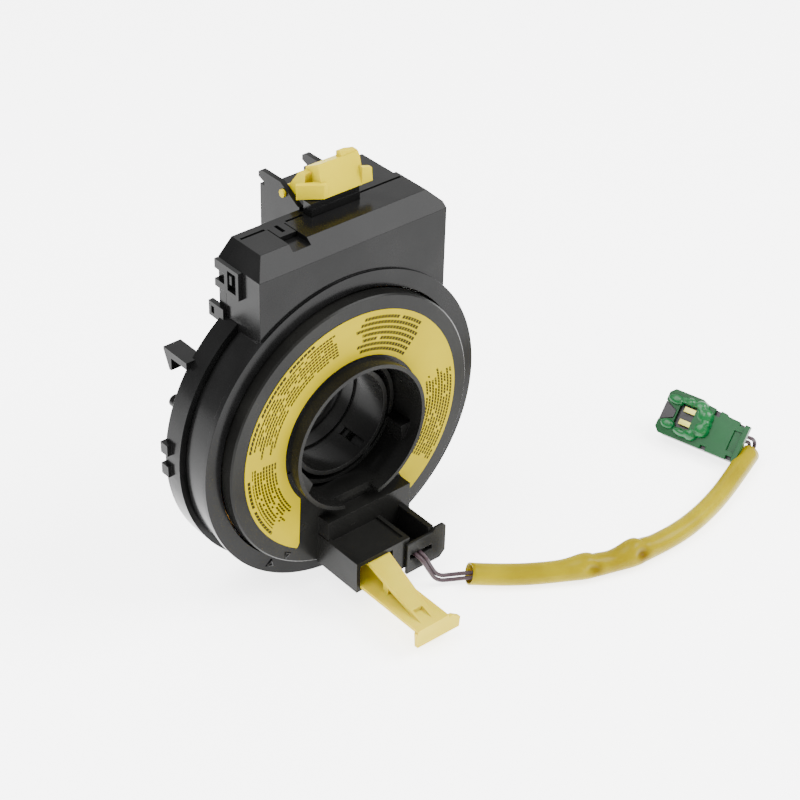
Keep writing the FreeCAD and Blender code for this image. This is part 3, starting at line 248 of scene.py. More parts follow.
def print_rows_group():
    """Rows of printed bars round the axis, between two angles and two radii. With angle a and
    radius r, the row is floor((r - inner) / pitch), and its bars are cells of equal length along
    the arc, floor(a * r / bar). A random number of its row and cell inks a bar or leaves it bare,
    and one of its row alone lets the row stop short of the end."""
    group, start, end = new_group(
        "PrintRows",
        [
            ("Start", "NodeSocketFloat", 0.0),
            ("End", "NodeSocketFloat", 1.0),
            ("Inner", "NodeSocketFloat", 0.03),
            ("Outer", "NodeSocketFloat", 0.041),
            ("Pitch", "NodeSocketFloat", 0.001),
            ("Bar", "NodeSocketFloat", 0.0014),
            ("Bare", "NodeSocketFloat", 0.2),
        ],
        [("Ink", "NodeSocketFloat")],
    )
    nodes, links = group.nodes, group.links

    def math_node(operation, *values):
        node = nodes.new("ShaderNodeMath")
        node.operation = operation
        for index, value in enumerate(values):
            if isinstance(value, (int, float)):
                node.inputs[index].default_value = value
            else:
                links.new(value, node.inputs[index])
        return node.outputs["Value"]

    place = nodes.new("ShaderNodeTexCoord")
    split = nodes.new("ShaderNodeSeparateXYZ")
    links.new(place.outputs["Object"], split.inputs["Vector"])
    x, z = split.outputs["X"], split.outputs["Z"]
    squares = math_node("ADD", math_node("MULTIPLY", x, x), math_node("MULTIPLY", z, z))
    radius = math_node("SQRT", squares)
    angle = math_node("ARCTAN2", z, x)
    from_start = math_node("SUBTRACT", angle, start.outputs["Start"])
    turned = math_node("MODULO", math_node("ADD", from_start, 4 * math.pi), 2 * math.pi)
    over = math_node("SUBTRACT", radius, start.outputs["Inner"])
    rows = math_node("DIVIDE", over, start.outputs["Pitch"])
    row = math_node("FLOOR", rows)
    bars = math_node("DIVIDE", math_node("MULTIPLY", turned, radius), start.outputs["Bar"])
    cell = nodes.new("ShaderNodeCombineXYZ")
    links.new(math_node("FLOOR", bars), cell.inputs["X"])
    links.new(row, cell.inputs["Y"])
    chance = nodes.new("ShaderNodeTexWhiteNoise")
    chance.noise_dimensions = "2D"
    links.new(cell.outputs["Vector"], chance.inputs["Vector"])
    ragged = nodes.new("ShaderNodeTexWhiteNoise")
    ragged.noise_dimensions = "1D"
    links.new(row, ragged.inputs["W"])
    whole = math_node("SUBTRACT", start.outputs["End"], start.outputs["Start"])
    short = math_node("MULTIPLY", ragged.outputs["Value"], ROW_RAGGED)
    reach = math_node("MULTIPLY", whole, math_node("SUBTRACT", 1.0, short))
    tests = [
        math_node("LESS_THAN", math_node("FRACT", rows), ROW_INKED),
        math_node("LESS_THAN", math_node("FRACT", bars), BAR_INKED),
        math_node("GREATER_THAN", chance.outputs["Value"], start.outputs["Bare"]),
        math_node("LESS_THAN", turned, reach),
        math_node("GREATER_THAN", rows, 0.0),
        math_node("LESS_THAN", radius, start.outputs["Outer"]),
    ]
    ink = tests[0]
    for test in tests[1:]:
        ink = math_node("MULTIPLY", ink, test)
    links.new(ink, end.inputs["Ink"])
    return group


# Finishes

def finish_material(name, main, drift, roughness, grain=0.2, waves=0.15, patchiness=0.12,
                    **sockets):
    """A moulded or drawn finish: grain in the normal, patchy gloss, and a main colour that drifts
    in patches to one that is lighter by drift. The rest are the shader's own sockets."""
    material = bpy.data.materials.new(name)
    material.use_nodes = True
    nodes, links = material.node_tree.nodes, material.node_tree.links
    shader = nodes["Principled BSDF"]
    skin = nodes.new("ShaderNodeGroup")
    skin.node_tree = GROUPS["grain"]
    skin.inputs["Depth"].default_value = grain
    skin.inputs["Waves"].default_value = waves
    skin.inputs["Roughness"].default_value = roughness
    skin.inputs["Patchiness"].default_value = patchiness
    tones = nodes.new("ShaderNodeGroup")
    tones.node_tree = GROUPS["drift"]
    tones.inputs["Main"].default_value = (*main, 1)
    tones.inputs["Other"].default_value = (*(low + more for low, more in zip(main, drift)), 1)
    links.new(skin.outputs["Patches"], tones.inputs["Mask"])
    links.new(tones.outputs["Color"], shader.inputs["Base Color"])
    links.new(skin.outputs["Normal"], shader.inputs["Normal"])
    links.new(skin.outputs["Roughness"], shader.inputs["Roughness"])
    for socket, value in sockets.items():
        shader.inputs[socket.replace("_", " ")].default_value = value
    return material


# Fields of printed rows on the label: from and to in degrees anticlockwise from the right, inner
# and outer radius, row pitch, bar length, and the share left bare
PRINT_FIELDS = [
    (46.0, 89.0, 28.5, 41.3, 1.83, 1.35, 0.02),
    (101.0, 171.0, 31.8, 40.3, 1.1, 1.3, 0.12),
    (112.0, 171.0, 40.9, 41.9, 2.0, 1.6, 0.1),
    (176.0, 219.0, 30.6, 39.8, 1.1, 1.3, 0.12),
    (181.0, 220.0, 40.5, 41.5, 2.0, 1.6, 0.1),
    (-39.0, 15.0, 30.4, 41.2, 1.25, 1.2, 0.1),
]


def print_label(material, ink_colour):
    """Lay the rows of bars over the label's yellow."""
    nodes, links = material.node_tree.nodes, material.node_tree.links
    shader = nodes["Principled BSDF"]
    paper = shader.inputs["Base Color"].links[0].from_socket
    ink = None
    for low, high, *lengths, bare in PRINT_FIELDS:
        field = nodes.new("ShaderNodeGroup")
        field.node_tree = GROUPS["print"]
        values = (math.radians(low), math.radians(high), *(MM * value for value in lengths), bare)
        for label, value in zip(("Start", "End", "Inner", "Outer", "Pitch", "Bar", "Bare"), values):
            field.inputs[label].default_value = value
        if ink is None:
            ink = field.outputs["Ink"]
        else:
            both = nodes.new("ShaderNodeMath")
            both.operation = "MAXIMUM"
            links.new(ink, both.inputs[0])
            links.new(field.outputs["Ink"], both.inputs[1])
            ink = both.outputs["Value"]
    mix = nodes.new("ShaderNodeMix")
    mix.data_type = "RGBA"
    links.new(ink, mix.inputs["Factor"])
    links.new(paper, mix.inputs["A"])
    mix.inputs["B"].default_value = (*ink_colour, 1)
    links.new(mix.outputs["Result"], shader.inputs["Base Color"])


# Painted shade in the sleeve's folds and on the stretch between them: middle, reach, and the share
# of the painted shade's colour in the middle
PAINTED_FOLD_SHADES = [
    ((57.4, -80.6, -50.0), 4.0, 0.7),
    ((74.4, -85.2, -49.8), 4.4, 0.9),
    ((65.5, -83.0, -51.0), 10.0, 0.35),
]


def paint_fold_shade(material, painted_shade_colour):
    """Painted shade where the sleeve folds and between its folds, as a deeper amber. Each shade
    mixes the painted shade's colour in, by its share at its middle and by nothing at its reach, on
    a smooth step between them."""
    nodes, links = material.node_tree.nodes, material.node_tree.links
    shader = nodes["Principled BSDF"]
    tone = shader.inputs["Base Color"].links[0].from_socket
    place = nodes.new("ShaderNodeTexCoord")
    for middle, reach, share in PAINTED_FOLD_SHADES:
        away = nodes.new("ShaderNodeVectorMath")
        away.operation = "DISTANCE"
        away.inputs[1].default_value = tuple(MM * value for value in middle)
        links.new(place.outputs["Object"], away.inputs[0])
        span = nodes.new("ShaderNodeMapRange")
        span.interpolation_type = "SMOOTHSTEP"
        span.inputs["From Max"].default_value = reach * MM
        span.inputs["To Min"].default_value = share
        span.inputs["To Max"].default_value = 0.0
        links.new(away.outputs["Value"], span.inputs["Value"])
        mix = nodes.new("ShaderNodeMix")
        mix.data_type = "RGBA"
        links.new(span.outputs["Result"], mix.inputs["Factor"])
        links.new(tone, mix.inputs["A"])
        mix.inputs["B"].default_value = (*painted_shade_colour, 1)
        tone = mix.outputs["Result"]
    links.new(tone, shader.inputs["Base Color"])


def make_finishes(colours):
    """All finishes of the object by their slot in the record, and the plug head's own: a lighter
    copy of the cover's green, as painted light on the lobes.
    """
    GROUPS["grain"] = mould_grain_group()
    GROUPS["drift"] = two_tone_group()
    GROUPS["print"] = print_rows_group()
    made = {
        "black_case": finish_material(
            "HousingBlack", colours.case, (0.003, 0.003, 0.003), 0.14,
            grain=0.12, waves=0.3, Specular_IOR_Level=0.08),
        "black_rotor": finish_material(
            "RotorBlack", colours.rotor, (0.0045, 0.0045, 0.0038), 0.2,
            grain=0.15, waves=0.25, Specular_IOR_Level=0.07),
        "inner_plastic": finish_material(
            "InnerNatural", (0.6, 0.57, 0.5), (0.08, 0.07, 0.06), 0.45),
        "tinned_strip": finish_material(
            "TinnedStrip", (0.62, 0.6, 0.56), (0.1, 0.1, 0.1), 0.28, Metallic=1.0),
        "ribbon_film": finish_material(
            "RibbonFilm", (0.55, 0.26, 0.06), (0.11, 0.08, 0.03), 0.25),
        "slip_film": finish_material(
            "SlipFilm", (0.66, 0.66, 0.64), (0.08, 0.08, 0.08), 0.3),
        "yellow_label": finish_material(
            "LabelYellow", colours.label, (0.05, 0.04, 0.0), 0.2,
            grain=0.04, waves=0.35, patchiness=0.08, Specular_IOR_Level=0.02),
        "wire_dark": finish_material(
            "WireDark", colours.wires, (0.033, 0.023, 0.025), 0.35,
            grain=0.1, Specular_IOR_Level=0.2),
        "yellow_sleeve": finish_material(
            "SleeveYellow", colours.sleeve, (0.08, 0.07, 0.0), 0.2,
            grain=0.04, waves=0.5, Subsurface_Weight=0.12, Specular_IOR_Level=0.08),
        "black_plug": finish_material(
            "PlugBlack", colours.plug, (0.006, 0.005, 0.006), 0.3, Specular_IOR_Level=0.3),
        "green_plug": finish_material(
            "PlugGreen", colours.plug_cover, (0.001, 0.018, 0.005), 0.22,
            grain=0.1, waves=0.4, Specular_IOR_Level=0.15),
        # The lobes' finish is a lighter, glossier copy of the cover's green; the lighter colour is
        # painted light
        "green_lobes_painted_light": finish_material(
            "LobeGreenPaintedLight", colours.plug_head, (0.002, 0.03, 0.008), 0.2,
            grain=0.06, waves=0.4, Specular_IOR_Level=0.25),
        "gilt_contact": finish_material(
            "GiltContact", colours.contacts, (0.1, 0.09, 0.04), 0.25, Metallic=1.0),
        "yellow_key": finish_material(
            "KeyYellow", colours.key, (0.08, 0.065, 0.015), 0.3,
            waves=0.3, Subsurface_Weight=0.35, Specular_IOR_Level=0.04),
        "yellow_lever": finish_material(
            "LeverYellow", colours.lever, (0.06, 0.055, 0.0), 0.34,
            waves=0.3, Subsurface_Weight=0.2, Specular_IOR_Level=0.04),
    }
    for name in ("yellow_key", "yellow_lever", "yellow_sleeve"):
        shader = made[name].node_tree.nodes["Principled BSDF"]
        shader.inputs["Subsurface Radius"].default_value = (1.0, 0.5, 0.05)
        shader.inputs["Subsurface Scale"].default_value = 2.0 * MM
    print_label(made["yellow_label"], colours.print_ink)
    # Paint shade into the sleeve's yellow in and between its folds
    paint_fold_shade(made["yellow_sleeve"], colours.painted_fold_shade)
    return made


FINISHES = {}


def give_finish(piece, finish_name):
    piece.data.materials.clear()
    piece.data.materials.append(FINISHES[finish_name])


def add_piece(piece, slot_name, body, finish_name=None):
    """Finish a new piece, as its slot says or with a finish of its own, and set it on its body."""
    give_finish(piece, finish_name or slot_name)
    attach(piece, body)


# Mouldings and metal parts that come with the frame

EDGE_WIDTHS = {
    "front_case": 0.32, "rear_cover": 0.25, "connector_body": 0.15, "connector_lever": 0.2,
    "rotor": 0.32, "cancel_sleeve": 0.25, "wire_plate": 0.25, "lock_key": 0.3, "plug_body": 0.3,
    "plug_cover": 0.1, "plug_contacts": 0.12, "terminal_block": 0.2, "outer_carrier": 0.2,
    "inner_carrier": 0.2,
}
JOIN_DISTANCE = 0.001
FLAT_WITHIN = math.radians(0.6)
EDGE_OVER = math.radians(32)


def smooth_faces(mesh):
    mesh.polygons.foreach_set("use_smooth", np.ones(len(mesh.polygons), bool))


def soften(piece, width):
    """Join a frame piece's loose triangles and round its edges in live modifiers."""
    weld = piece.modifiers.new("Join", "WELD")
    weld.merge_threshold = JOIN_DISTANCE * MM
    plane = piece.modifiers.new("Flatten", "DECIMATE")
    plane.decimate_type = "DISSOLVE"
    plane.angle_limit = FLAT_WITHIN
    bevel = piece.modifiers.new("Edges", "BEVEL")
    bevel.width = width
    bevel.segments = 2
    bevel.limit_method = "ANGLE"
    bevel.angle_limit = EDGE_OVER
    bevel.use_clamp_overlap = True
    bevel.miter_outer = "MITER_ARC"
    normals = piece.modifiers.new("Shading", "WEIGHTED_NORMAL")
    normals.keep_sharp = False
    smooth_faces(piece.data)


class CLOCKSPRING_OT_housing(bpy.types.Operator):
    """Finish every moulded and metal piece that comes with the frame"""
    bl_idname = "clockspring.housing"
    bl_label = "Housing and inner parts"

    def execute(self, context):
        slots = {row["node"]: row["material_slot"] for row in frame["record"]["subparts"]}
        for name, piece in NODES.items():
            give_finish(piece, slots[name])
            if name in EDGE_WIDTHS:
                soften(piece, EDGE_WIDTHS[name] * MM)
        return {"FINISHED"}


# Meshes and curves

def new_piece(name, data):
    piece = bpy.data.objects.new(name, data)
    bpy.context.scene.collection.objects.link(piece)
    return piece


def new_mesh(name, points, faces):
    mesh = bpy.data.meshes.new(name)
    mesh.from_pydata(points.reshape(-1, 3).tolist(), [], faces.reshape(-1, 4).tolist())
    smooth_faces(mesh)
    return mesh


def surface(name, points, around=True, along=False):
    """A mesh from a grid of points; around joins the last column to the first, along the rows."""
    rows, columns = points.shape[:2]
    row = np.arange(rows if along else rows - 1)
    column = np.arange(columns if around else columns - 1)
    low, left = np.meshgrid(row, column, indexing="ij")
    low_row = low * columns
    high_row = (low + 1) % rows * columns
    right = (left + 1) % columns
    faces = np.stack((low_row + left, low_row + right, high_row + right, high_row + left), -1)
    return new_piece(name, new_mesh(name, points, faces))


def nurbs_route(name, points, radius):
    """A smooth round cord along the route's control points. Its thickness is each point's own
    radius times a depth of one metre, so that the curve's box is as small as the cord."""
    curve = bpy.data.curves.new(name, "CURVE")
    curve.dimensions = "3D"
    spline = curve.splines.new("NURBS")
    spline.points.add(len(points) - 1)
    for point, place in zip(spline.points, points):
        point.co = (*place, 1)
        point.radius = radius
    spline.order_u = 3
    spline.use_endpoint_u = True
    spline.resolution_u = 12
    curve.bevel_depth = 1.0
    curve.bevel_resolution = 6
    curve.use_fill_caps = True
    return new_piece(name, curve)


def points_along(piece):
    """Points read from a route's own spline, with its thickness taken off while they are read."""
    depth = piece.data.bevel_depth
    piece.data.bevel_depth = 0
    bpy.context.view_layer.update()
    line = bpy.data.meshes.new_from_object(piece)
    points = np.array([vertex.co for vertex in line.vertices])
    bpy.data.meshes.remove(line)
    piece.data.bevel_depth = depth
    return points


def steps_along(path):
    """Length of each step from one point of the path to the next."""
    return np.linalg.norm(np.diff(path, axis=0), axis=1)


# Airbag lead

class CLOCKSPRING_OT_wires(bpy.types.Operator):
    """Lay the two wires from the rotor's slot along the bench to the plug"""
    bl_idname = "clockspring.wires"
    bl_label = "Airbag wires"

    def execute(self, context):
        settings = context.scene.clockspring_lead
        for name, route in WIRE_ROUTES.items():
            wire = nurbs_route(name + "_laid", in_metres(route), settings.wire_diameter / 2)
            add_piece(wire, "wire_dark", TURNING)
            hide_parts(name)
            points = points_along(wire)
        return {"FINISHED"}


# Kinks of the sleeve: place along X, swelling as a share of the radius, depth of the dimple and
# its place round the sleeve in radians. A reach is where a hump has sunk to about a third, and a
# crease or dimple lies a little past its kink.
SLEEVE_KINKS = [(56.2, 0.24, 1.6, 0.35), (73.2, 0.34, 1.9, 0.45)]
SWELL_REACH = 5.2
SWELL_TO_SIDES = 0.2
SWELL_TO_NEAR_SIDE = 0.9
CREASE = 0.07
CREASE_PLACE = 3.5
CREASE_REACH = 1.2
DIMPLE_PLACE = 1.0
DIMPLE_REACH = 2.2
DIMPLE_TURN = 0.45
# How far the sleeve's section is from round, and the way along it for one radian of that wave
OVAL = 0.03
OVAL_WAVE = 21.0
# The slanting cut of its mouth: height, reach and the way it faces in radians
MOUTH_SLANT = 2.6
MOUTH_REACH = 9.0
MOUTH_TURN = 0.7
SLEEVE_SIDES = 64


def frames_along(path):
    """Unit side, up and forward vectors at each point of a level path: side = forward x up."""
    forward = np.gradient(path, axis=0)
    forward /= np.linalg.norm(forward, axis=1)[:, None]
    side = np.cross(forward, (0.0, 0.0, 1.0))
    side /= np.linalg.norm(side, axis=1)[:, None]
    return side, np.cross(side, forward), forward


def hump(away, reach):
    """A smooth hump: exp(-u * u), where u is the distance from its middle in reaches."""
    return np.exp(-(away / reach) ** 2)


def sleeve_surface(name, path, radius, wall):
    """A soft tube of ovals along the path, outside first and then back along the bore, joined at
    both open ends. A sine of the way along makes the oval a little wider or narrower, and flatter.
    Each kink makes it higher by its swelling times a hump along the path, less a narrow crease just
    past it, and lifts it by as much, so that it still lies on the bench. The swelling also widens
    it a little, and its near side most. The dimple is a hump along the path times a hump round the
    sleeve, pressed in towards the middle. The mouth is cut aslant: a point moves forward by
    slant * (1 + cos(turn - place)) / 2, and less the further it is in."""
    side, up, forward = frames_along(path)
    run = np.concatenate([[0], np.cumsum(steps_along(path))])[:, None]
    turn = np.linspace(0, 2 * math.pi, SLEEVE_SIDES, endpoint=False)[None, :]
    oval = OVAL * np.sin(run / (OVAL_WAVE * MM))
    swell = np.zeros_like(run)
    dimple = np.zeros((len(path), SLEEVE_SIDES))
    for x, rise, depth, place in SLEEVE_KINKS:
        past = run - np.interp(x * MM, path[:, 0], run[:, 0])
        swell += rise * hump(past, SWELL_REACH * MM)
        swell -= CREASE * hump(past - CREASE_PLACE * MM, CREASE_REACH * MM)
        around = (turn - place + math.pi) % (2 * math.pi) - math.pi
        pressed = hump(past - DIMPLE_PLACE * MM, DIMPLE_REACH * MM) * hump(around, DIMPLE_TURN)
        dimple += depth * MM * pressed
    raised = np.maximum(swell, 0)
    bulge = SWELL_TO_NEAR_SIDE * raised * np.maximum(np.cos(turn), 0)
    near_mouth = np.clip(1 - run / (MOUTH_REACH * MM), 0, 1)
    slant = MOUTH_SLANT * MM * (1 + np.cos(turn - MOUTH_TURN)) / 2 * near_mouth

    def tube(size):
        wide = size * ((1 + oval + SWELL_TO_SIDES * swell) * np.cos(turn) + bulge)
        tall = size * (1 - np.abs(oval) + swell) * np.sin(turn) + radius * raised
        wide -= dimple * np.cos(turn)
        tall -= dimple * np.sin(turn)
        moved = side[:, None] * wide[..., None] + up[:, None] * tall[..., None]
        return path[:, None] + moved + forward[:, None] * slant[..., None]

    return surface(name, np.concatenate([tube(radius), tube(radius - wall)[::-1]]), along=True)


class CLOCKSPRING_OT_sleeve(bpy.types.Operator):
    """Draw the yellow sleeve over the wires"""
    bl_idname = "clockspring.sleeve"
    bl_label = "Sleeve"

    def execute(self, context):
        settings = context.scene.clockspring_lead
        radius = settings.sleeve_diameter / 2
        guide = nurbs_route("sleeve_guide", in_metres(SLEEVE_ROUTE), radius)
        path = points_along(guide)
        bpy.data.objects.remove(guide)
        sleeve = sleeve_surface("lead_sleeve_laid", path, radius, settings.sleeve_wall)
        add_piece(sleeve, "yellow_sleeve", TURNING)
        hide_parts("lead_sleeve")
        return {"FINISHED"}


# Head of the plug, in the plug's own frame. Its lobes: x and y of the middle, half length, half
# width, and height over the lid; its well: from and to in x, and from and to in y
PLUG_LOBES = [
    (9.6, 13.7, 2.6, 2.3, 3.0), (13.6, 13.5, 3.0, 2.9, 3.2), (16.1, 11.2, 3.3, 3.2, 3.3),
    (17.7, 8.9, 2.0, 1.9, 3.0), (16.7, 6.5, 3.1, 3.0, 3.2), (13.7, 3.8, 2.8, 2.7, 3.1),
    (10.4, 2.9, 3.6, 1.6, 2.7), (3.7, 13.4, 3.4, 1.9, 1.3), (4.1, 4.1, 2.8, 1.9, 1.5),
    (7.2, 13.9, 2.0, 1.6, 2.0),
]
PLUG_WELL = (6.6, 13.4, 4.5, 12.9)
PLUG_CORNER = Vector((127.7, -38.2, -49.4))
PLUG_ALONG = Vector((0.243, -0.970, 0.0)).normalized()
PLUG_LEAN = math.radians(46)
PLUG_LID = -1.15
HEAD_LENGTH = (-0.4, 20.6)
HEAD_WIDTH = (0.4, 17.2)
HEAD_STEP = 0.16
HEAD_SUNK = 1.3
HEAD_EDGE = 0.05
LOBE_POWER = 2.4
JOIN_POWER = 8
RIPPLE = 0.06
RIPPLE_FROM = 0.3


def plug_frame():
    """The plug's own frame: X along it, Y up its face and Z out of its face."""
    level = Vector((-PLUG_ALONG.y, PLUG_ALONG.x, 0))
    across = level * math.cos(PLUG_LEAN) + Vector((0, 0, 1)) * math.sin(PLUG_LEAN)
    facing = PLUG_ALONG.cross(across)
    turn = Matrix((PLUG_ALONG, across, facing)).transposed().to_4x4()
    return Matrix.Translation(PLUG_CORNER * MM) @ turn


def lobed_head(name):
    """The lumpy head as a height over the lid. Each lobe is a dome H * (1 - q ** 2.4) ** 0.5 with q
    the distance from its middle in half lengths and half widths, and the domes join smoothly as
    the eighth root of the sum of their eighth powers. A slow ripple, the product of two sines
    aslant, lies on them. The well drops straight through."""
    x, y = np.meshgrid(np.arange(*HEAD_LENGTH, HEAD_STEP), np.arange(*HEAD_WIDTH, HEAD_STEP),
                       indexing="ij")
    height = np.zeros_like(x)
    for middle_x, middle_y, half_x, half_y, high in PLUG_LOBES:
        away = np.sqrt(((x - middle_x) / half_x) ** 2 + ((y - middle_y) / half_y) ** 2)
        dome = high * np.sqrt(np.clip(1 - away ** LOBE_POWER, 0, 1))
        height += dome ** JOIN_POWER
    height = height ** (1 / JOIN_POWER)
    ripple = RIPPLE * np.sin(1.9 * x + 0.7 * y) * np.sin(1.3 * y - 0.8 * x)
    height += ripple * (height > RIPPLE_FROM)
    left, right, low, high = PLUG_WELL
    well = (x > left) & (x < right) & (y > low) & (y < high)
    solid = (height > HEAD_EDGE) & ~well
    height = np.where(solid, height, -HEAD_SUNK)
    points = np.stack([x, y, PLUG_LID + height], -1) * MM
    rows, columns = x.shape
    first = np.arange(rows - 1)[:, None] * columns + np.arange(columns - 1)[None, :]
    quads = np.stack([first, first + columns, first + columns + 1, first + 1], -1).reshape(-1, 4)
    kept = quads[solid.reshape(-1)[quads].any(axis=1)]
    mesh = new_mesh(name, points, kept)
    mesh.transform(plug_frame())
    piece = new_piece(name, mesh)
    even = piece.modifiers.new("Even", "SMOOTH")
    even.factor = 0.5
    even.iterations = 3
    return piece


class CLOCKSPRING_OT_plug_head(bpy.types.Operator):
    """Add the lobes round the plug's contacts"""
    bl_idname = "clockspring.plug_head"
    bl_label = "Plug head"

    def execute(self, context):
        # The lobes take the lighter copy of the cover's green, as painted light
        add_piece(lobed_head("plug_lobes"), "green_plug", TURNING, "green_lobes_painted_light")
        return {"FINISHED"}


# Lip in the shaft bore, as radius and y
LIP_PROFILE = [
    (17.6, 2.2), (16.8, 2.4), (16.1, 2.9), (15.75, 3.4), (15.7, 3.8), (15.9, 4.2), (16.6, 4.4),
    (17.6, 4.4),
]


def ring_about_axis(name, profile, segments=128):
    """A surface of revolution about Y: x = radius * cos(angle) and z = radius * sin(angle)."""
    angle = np.linspace(0, 2 * math.pi, segments, endpoint=False)
    radius, depth = np.array(profile).T * MM
    x = radius[:, None] * np.cos(angle)[None, :]
    z = radius[:, None] * np.sin(angle)[None, :]
    y = np.broadcast_to(depth[:, None], x.shape)
    return surface(name, np.stack([x, y, z], -1))


class CLOCKSPRING_OT_bore_lip(bpy.types.Operator):
    """Add the thin lip in the shaft bore"""
    bl_idname = "clockspring.bore_lip"
    bl_label = "Lip in the bore"

    def execute(self, context):
        add_piece(ring_about_axis("bore_lip", LIP_PROFILE), "black_rotor", TURNING)
        return {"FINISHED"}


# Width of the triangles' line, its height over the face and its depth in it
MARK_LINE = 0.45
MARK_PROUD = 0.25
MARK_SUNK = 0.05


def triangle_mark(name, x, z, face, size, turn):
    """A raised triangular outline on a face that looks towards -Y: an outer and an inner triangle,
    the inner one smaller by the line's width all round."""
    corners = math.radians(turn) + np.radians([90.0, 210.0, 330.0])
    inner = size - 2 * MARK_LINE
    rows = []
    for reach, height in ((size, -MARK_SUNK), (size, MARK_PROUD), (inner, MARK_PROUD),
                          (inner, -MARK_SUNK)):
        rows.append(np.stack([x + reach * np.cos(corners), np.full(3, face - height),
                              z + reach * np.sin(corners)], -1) * MM)
    return surface(name, np.array(rows))


class CLOCKSPRING_OT_marks(bpy.types.Operator):
    """Add the two triangles that line up on rotor and flange"""
    bl_idname = "clockspring.marks"
    bl_label = "Line-up marks"

    def execute(self, context):
        rotor_mark = triangle_mark("rotor_mark", -26.6, -36.6, ROTOR_FACE, size=1.6, turn=150)
        add_piece(rotor_mark, "black_rotor", TURNING)
        flange_mark = triangle_mark("flange_mark", -30.3, -41.1, FLANGE_FACE, size=1.8, turn=-20)
        add_piece(flange_mark, "black_case", STATOR)
        return {"FINISHED"}


# The camera as the photograph has it: where it stands round the drum, how it is rolled and how far
# it is shifted, with its focal length in pixels of the 800 pixel picture
PICTURE_SIZE = 800.0
FOCAL_PIXELS = 2000.0
SENSOR_WIDTH = 36.0
CAMERA_AZIMUTH = math.radians(-41.392)
CAMERA_HEIGHT = math.radians(35.334)
CAMERA_ROLL = math.radians(1.707)
CAMERA_DISTANCE = 631.535
CAMERA_SLIDE = (-17.436, -7.851)


def place_camera(context):
    """Stand the camera back from the middle of the flange, and slide it in its own plane."""
    back = Vector((
        math.sin(CAMERA_AZIMUTH) * math.cos(CAMERA_HEIGHT),
        -math.cos(CAMERA_AZIMUTH) * math.cos(CAMERA_HEIGHT),
        math.sin(CAMERA_HEIGHT),
    ))
    level = Vector((math.cos(CAMERA_AZIMUTH), math.sin(CAMERA_AZIMUTH), 0))
    rise = back.cross(level)
    right = level * math.cos(CAMERA_ROLL) + rise * math.sin(CAMERA_ROLL)
    up = rise * math.cos(CAMERA_ROLL) - level * math.sin(CAMERA_ROLL)
    slide = right * CAMERA_SLIDE[0] + up * CAMERA_SLIDE[1]
    stand = back * CAMERA_DISTANCE - slide + Vector((0, FLANGE_FACE, 0))
    camera = bpy.data.cameras.new("Camera")
    camera.sensor_width = SENSOR_WIDTH
    camera.lens = SENSOR_WIDTH * FOCAL_PIXELS / PICTURE_SIZE
    camera.clip_start = 0.01
    holder = new_piece("Camera", camera)
    turn = Matrix((right, up, back)).transposed().to_4x4()
    holder.matrix_world = Matrix.Translation(stand * MM) @ turn
    context.scene.camera = holder


def place_lamp(name, place, size, power):
    """A square soft light, in metres and watts, that looks at the origin."""
    lamp = bpy.data.lights.new(name, "AREA")
    lamp.size = size
    lamp.energy = power
    holder = new_piece(name, lamp)
    holder.location = place
    holder.rotation_euler = (-Vector(place)).to_track_quat("-Z", "Y").to_euler()


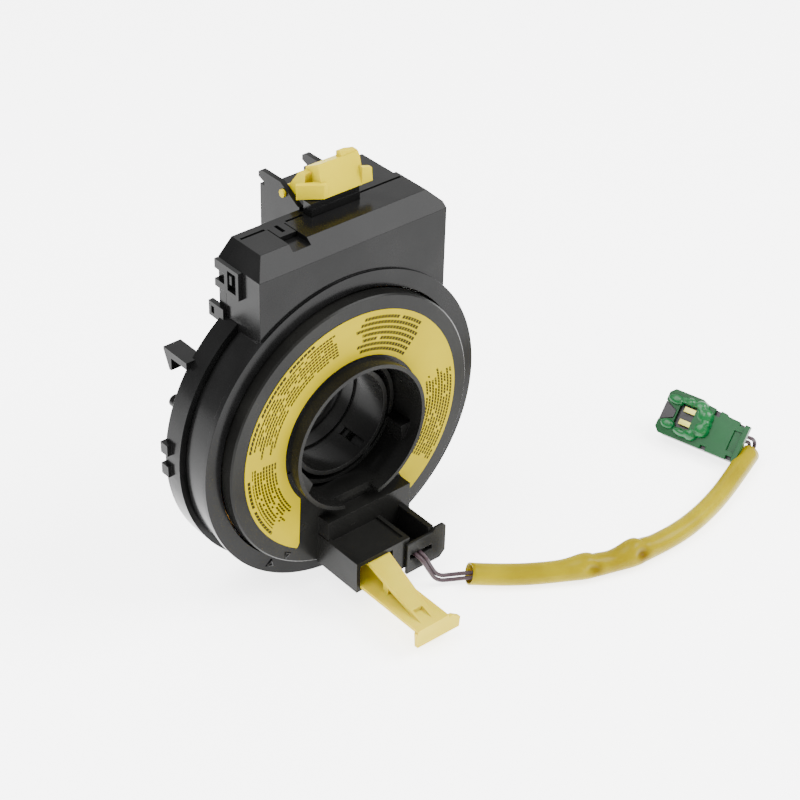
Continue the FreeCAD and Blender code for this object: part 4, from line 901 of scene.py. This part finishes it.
class CLOCKSPRING_OT_stage(bpy.types.Operator):
    """Place the bench, the soft lights and the camera"""
    bl_idname = "clockspring.stage"
    bl_label = "Bench, lights and camera"

    def execute(self, context):
        settings = context.scene.clockspring_stage
        white = (1, 1, 1, 1)
        bench_material = bpy.data.materials.new("Bench")
        bench_material.use_nodes = True
        paint = bench_material.node_tree.nodes["Principled BSDF"]
        paint.inputs["Base Color"].default_value = (0.95, 0.95, 0.95, 1)
        paint.inputs["Roughness"].default_value = 0.7
        paint.inputs["Emission Color"].default_value = white
        paint.inputs["Emission Strength"].default_value = settings.bench_glow
        reach = np.array([-1.0, 1.0]) * settings.bench_reach
        x, y = np.meshgrid(reach, reach)
        level = np.full_like(x, BENCH_TOP * MM)
        bench = surface("Bench", np.stack([x, y, level], -1), around=False)
        bench.data.materials.append(bench_material)
        world = bpy.data.worlds.new("Studio")
        context.scene.world = world
        world.use_nodes = True
        room = world.node_tree.nodes["Background"]
        room.inputs["Color"].default_value = white
        room.inputs["Strength"].default_value = settings.room_light
        place_lamp("TopLight", (-0.35, 0.1, 0.9), 0.8, settings.top_light)
        place_lamp("FrontLight", (0.62, -0.53, 0.81), 0.7, settings.front_light)
        place_lamp("BackLight", (0.65, 0.73, 0.69), 0.9, settings.back_light)
        place_camera(context)
        return {"FINISHED"}


# Add-on

SETTINGS = {
    "clockspring_colours": ClockSpringColours,
    "clockspring_lead": ClockSpringLead,
    "clockspring_stage": ClockSpringStage,
}
OPERATORS = (
    CLOCKSPRING_OT_stage, CLOCKSPRING_OT_housing, CLOCKSPRING_OT_wires, CLOCKSPRING_OT_sleeve,
    CLOCKSPRING_OT_plug_head, CLOCKSPRING_OT_bore_lip, CLOCKSPRING_OT_marks,
)


class CLOCKSPRING_PT_panel(bpy.types.Panel):
    """The pieces and their settings"""
    bl_idname = "CLOCKSPRING_PT_panel"
    bl_label = "Clock spring"
    bl_space_type = "VIEW_3D"
    bl_region_type = "UI"
    bl_category = "Clock spring"

    def draw(self, context):
        for operator in OPERATORS:
            self.layout.operator(operator.bl_idname)
        for key, group in SETTINGS.items():
            for name in group.__annotations__:
                self.layout.prop(getattr(context.scene, key), name)


CLASSES = (*SETTINGS.values(), *OPERATORS, CLOCKSPRING_PT_panel)


def register():
    for item in CLASSES:
        bpy.utils.register_class(item)
    for key, group in SETTINGS.items():
        setattr(bpy.types.Scene, key, bpy.props.PointerProperty(type=group))


def unregister():
    for key in SETTINGS:
        delattr(bpy.types.Scene, key)
    for item in reversed(CLASSES):
        bpy.utils.unregister_class(item)


def main():
    register()
    FINISHES.update(make_finishes(bpy.context.scene.clockspring_colours))
    bpy.ops.clockspring.stage()
    bpy.ops.clockspring.housing()
    bpy.ops.clockspring.wires()
    bpy.ops.clockspring.sleeve()
    bpy.ops.clockspring.plug_head()
    bpy.ops.clockspring.bore_lip()
    bpy.ops.clockspring.marks()
    bpy.context.view_layer.update()


if __name__ == "__main__":
    main()
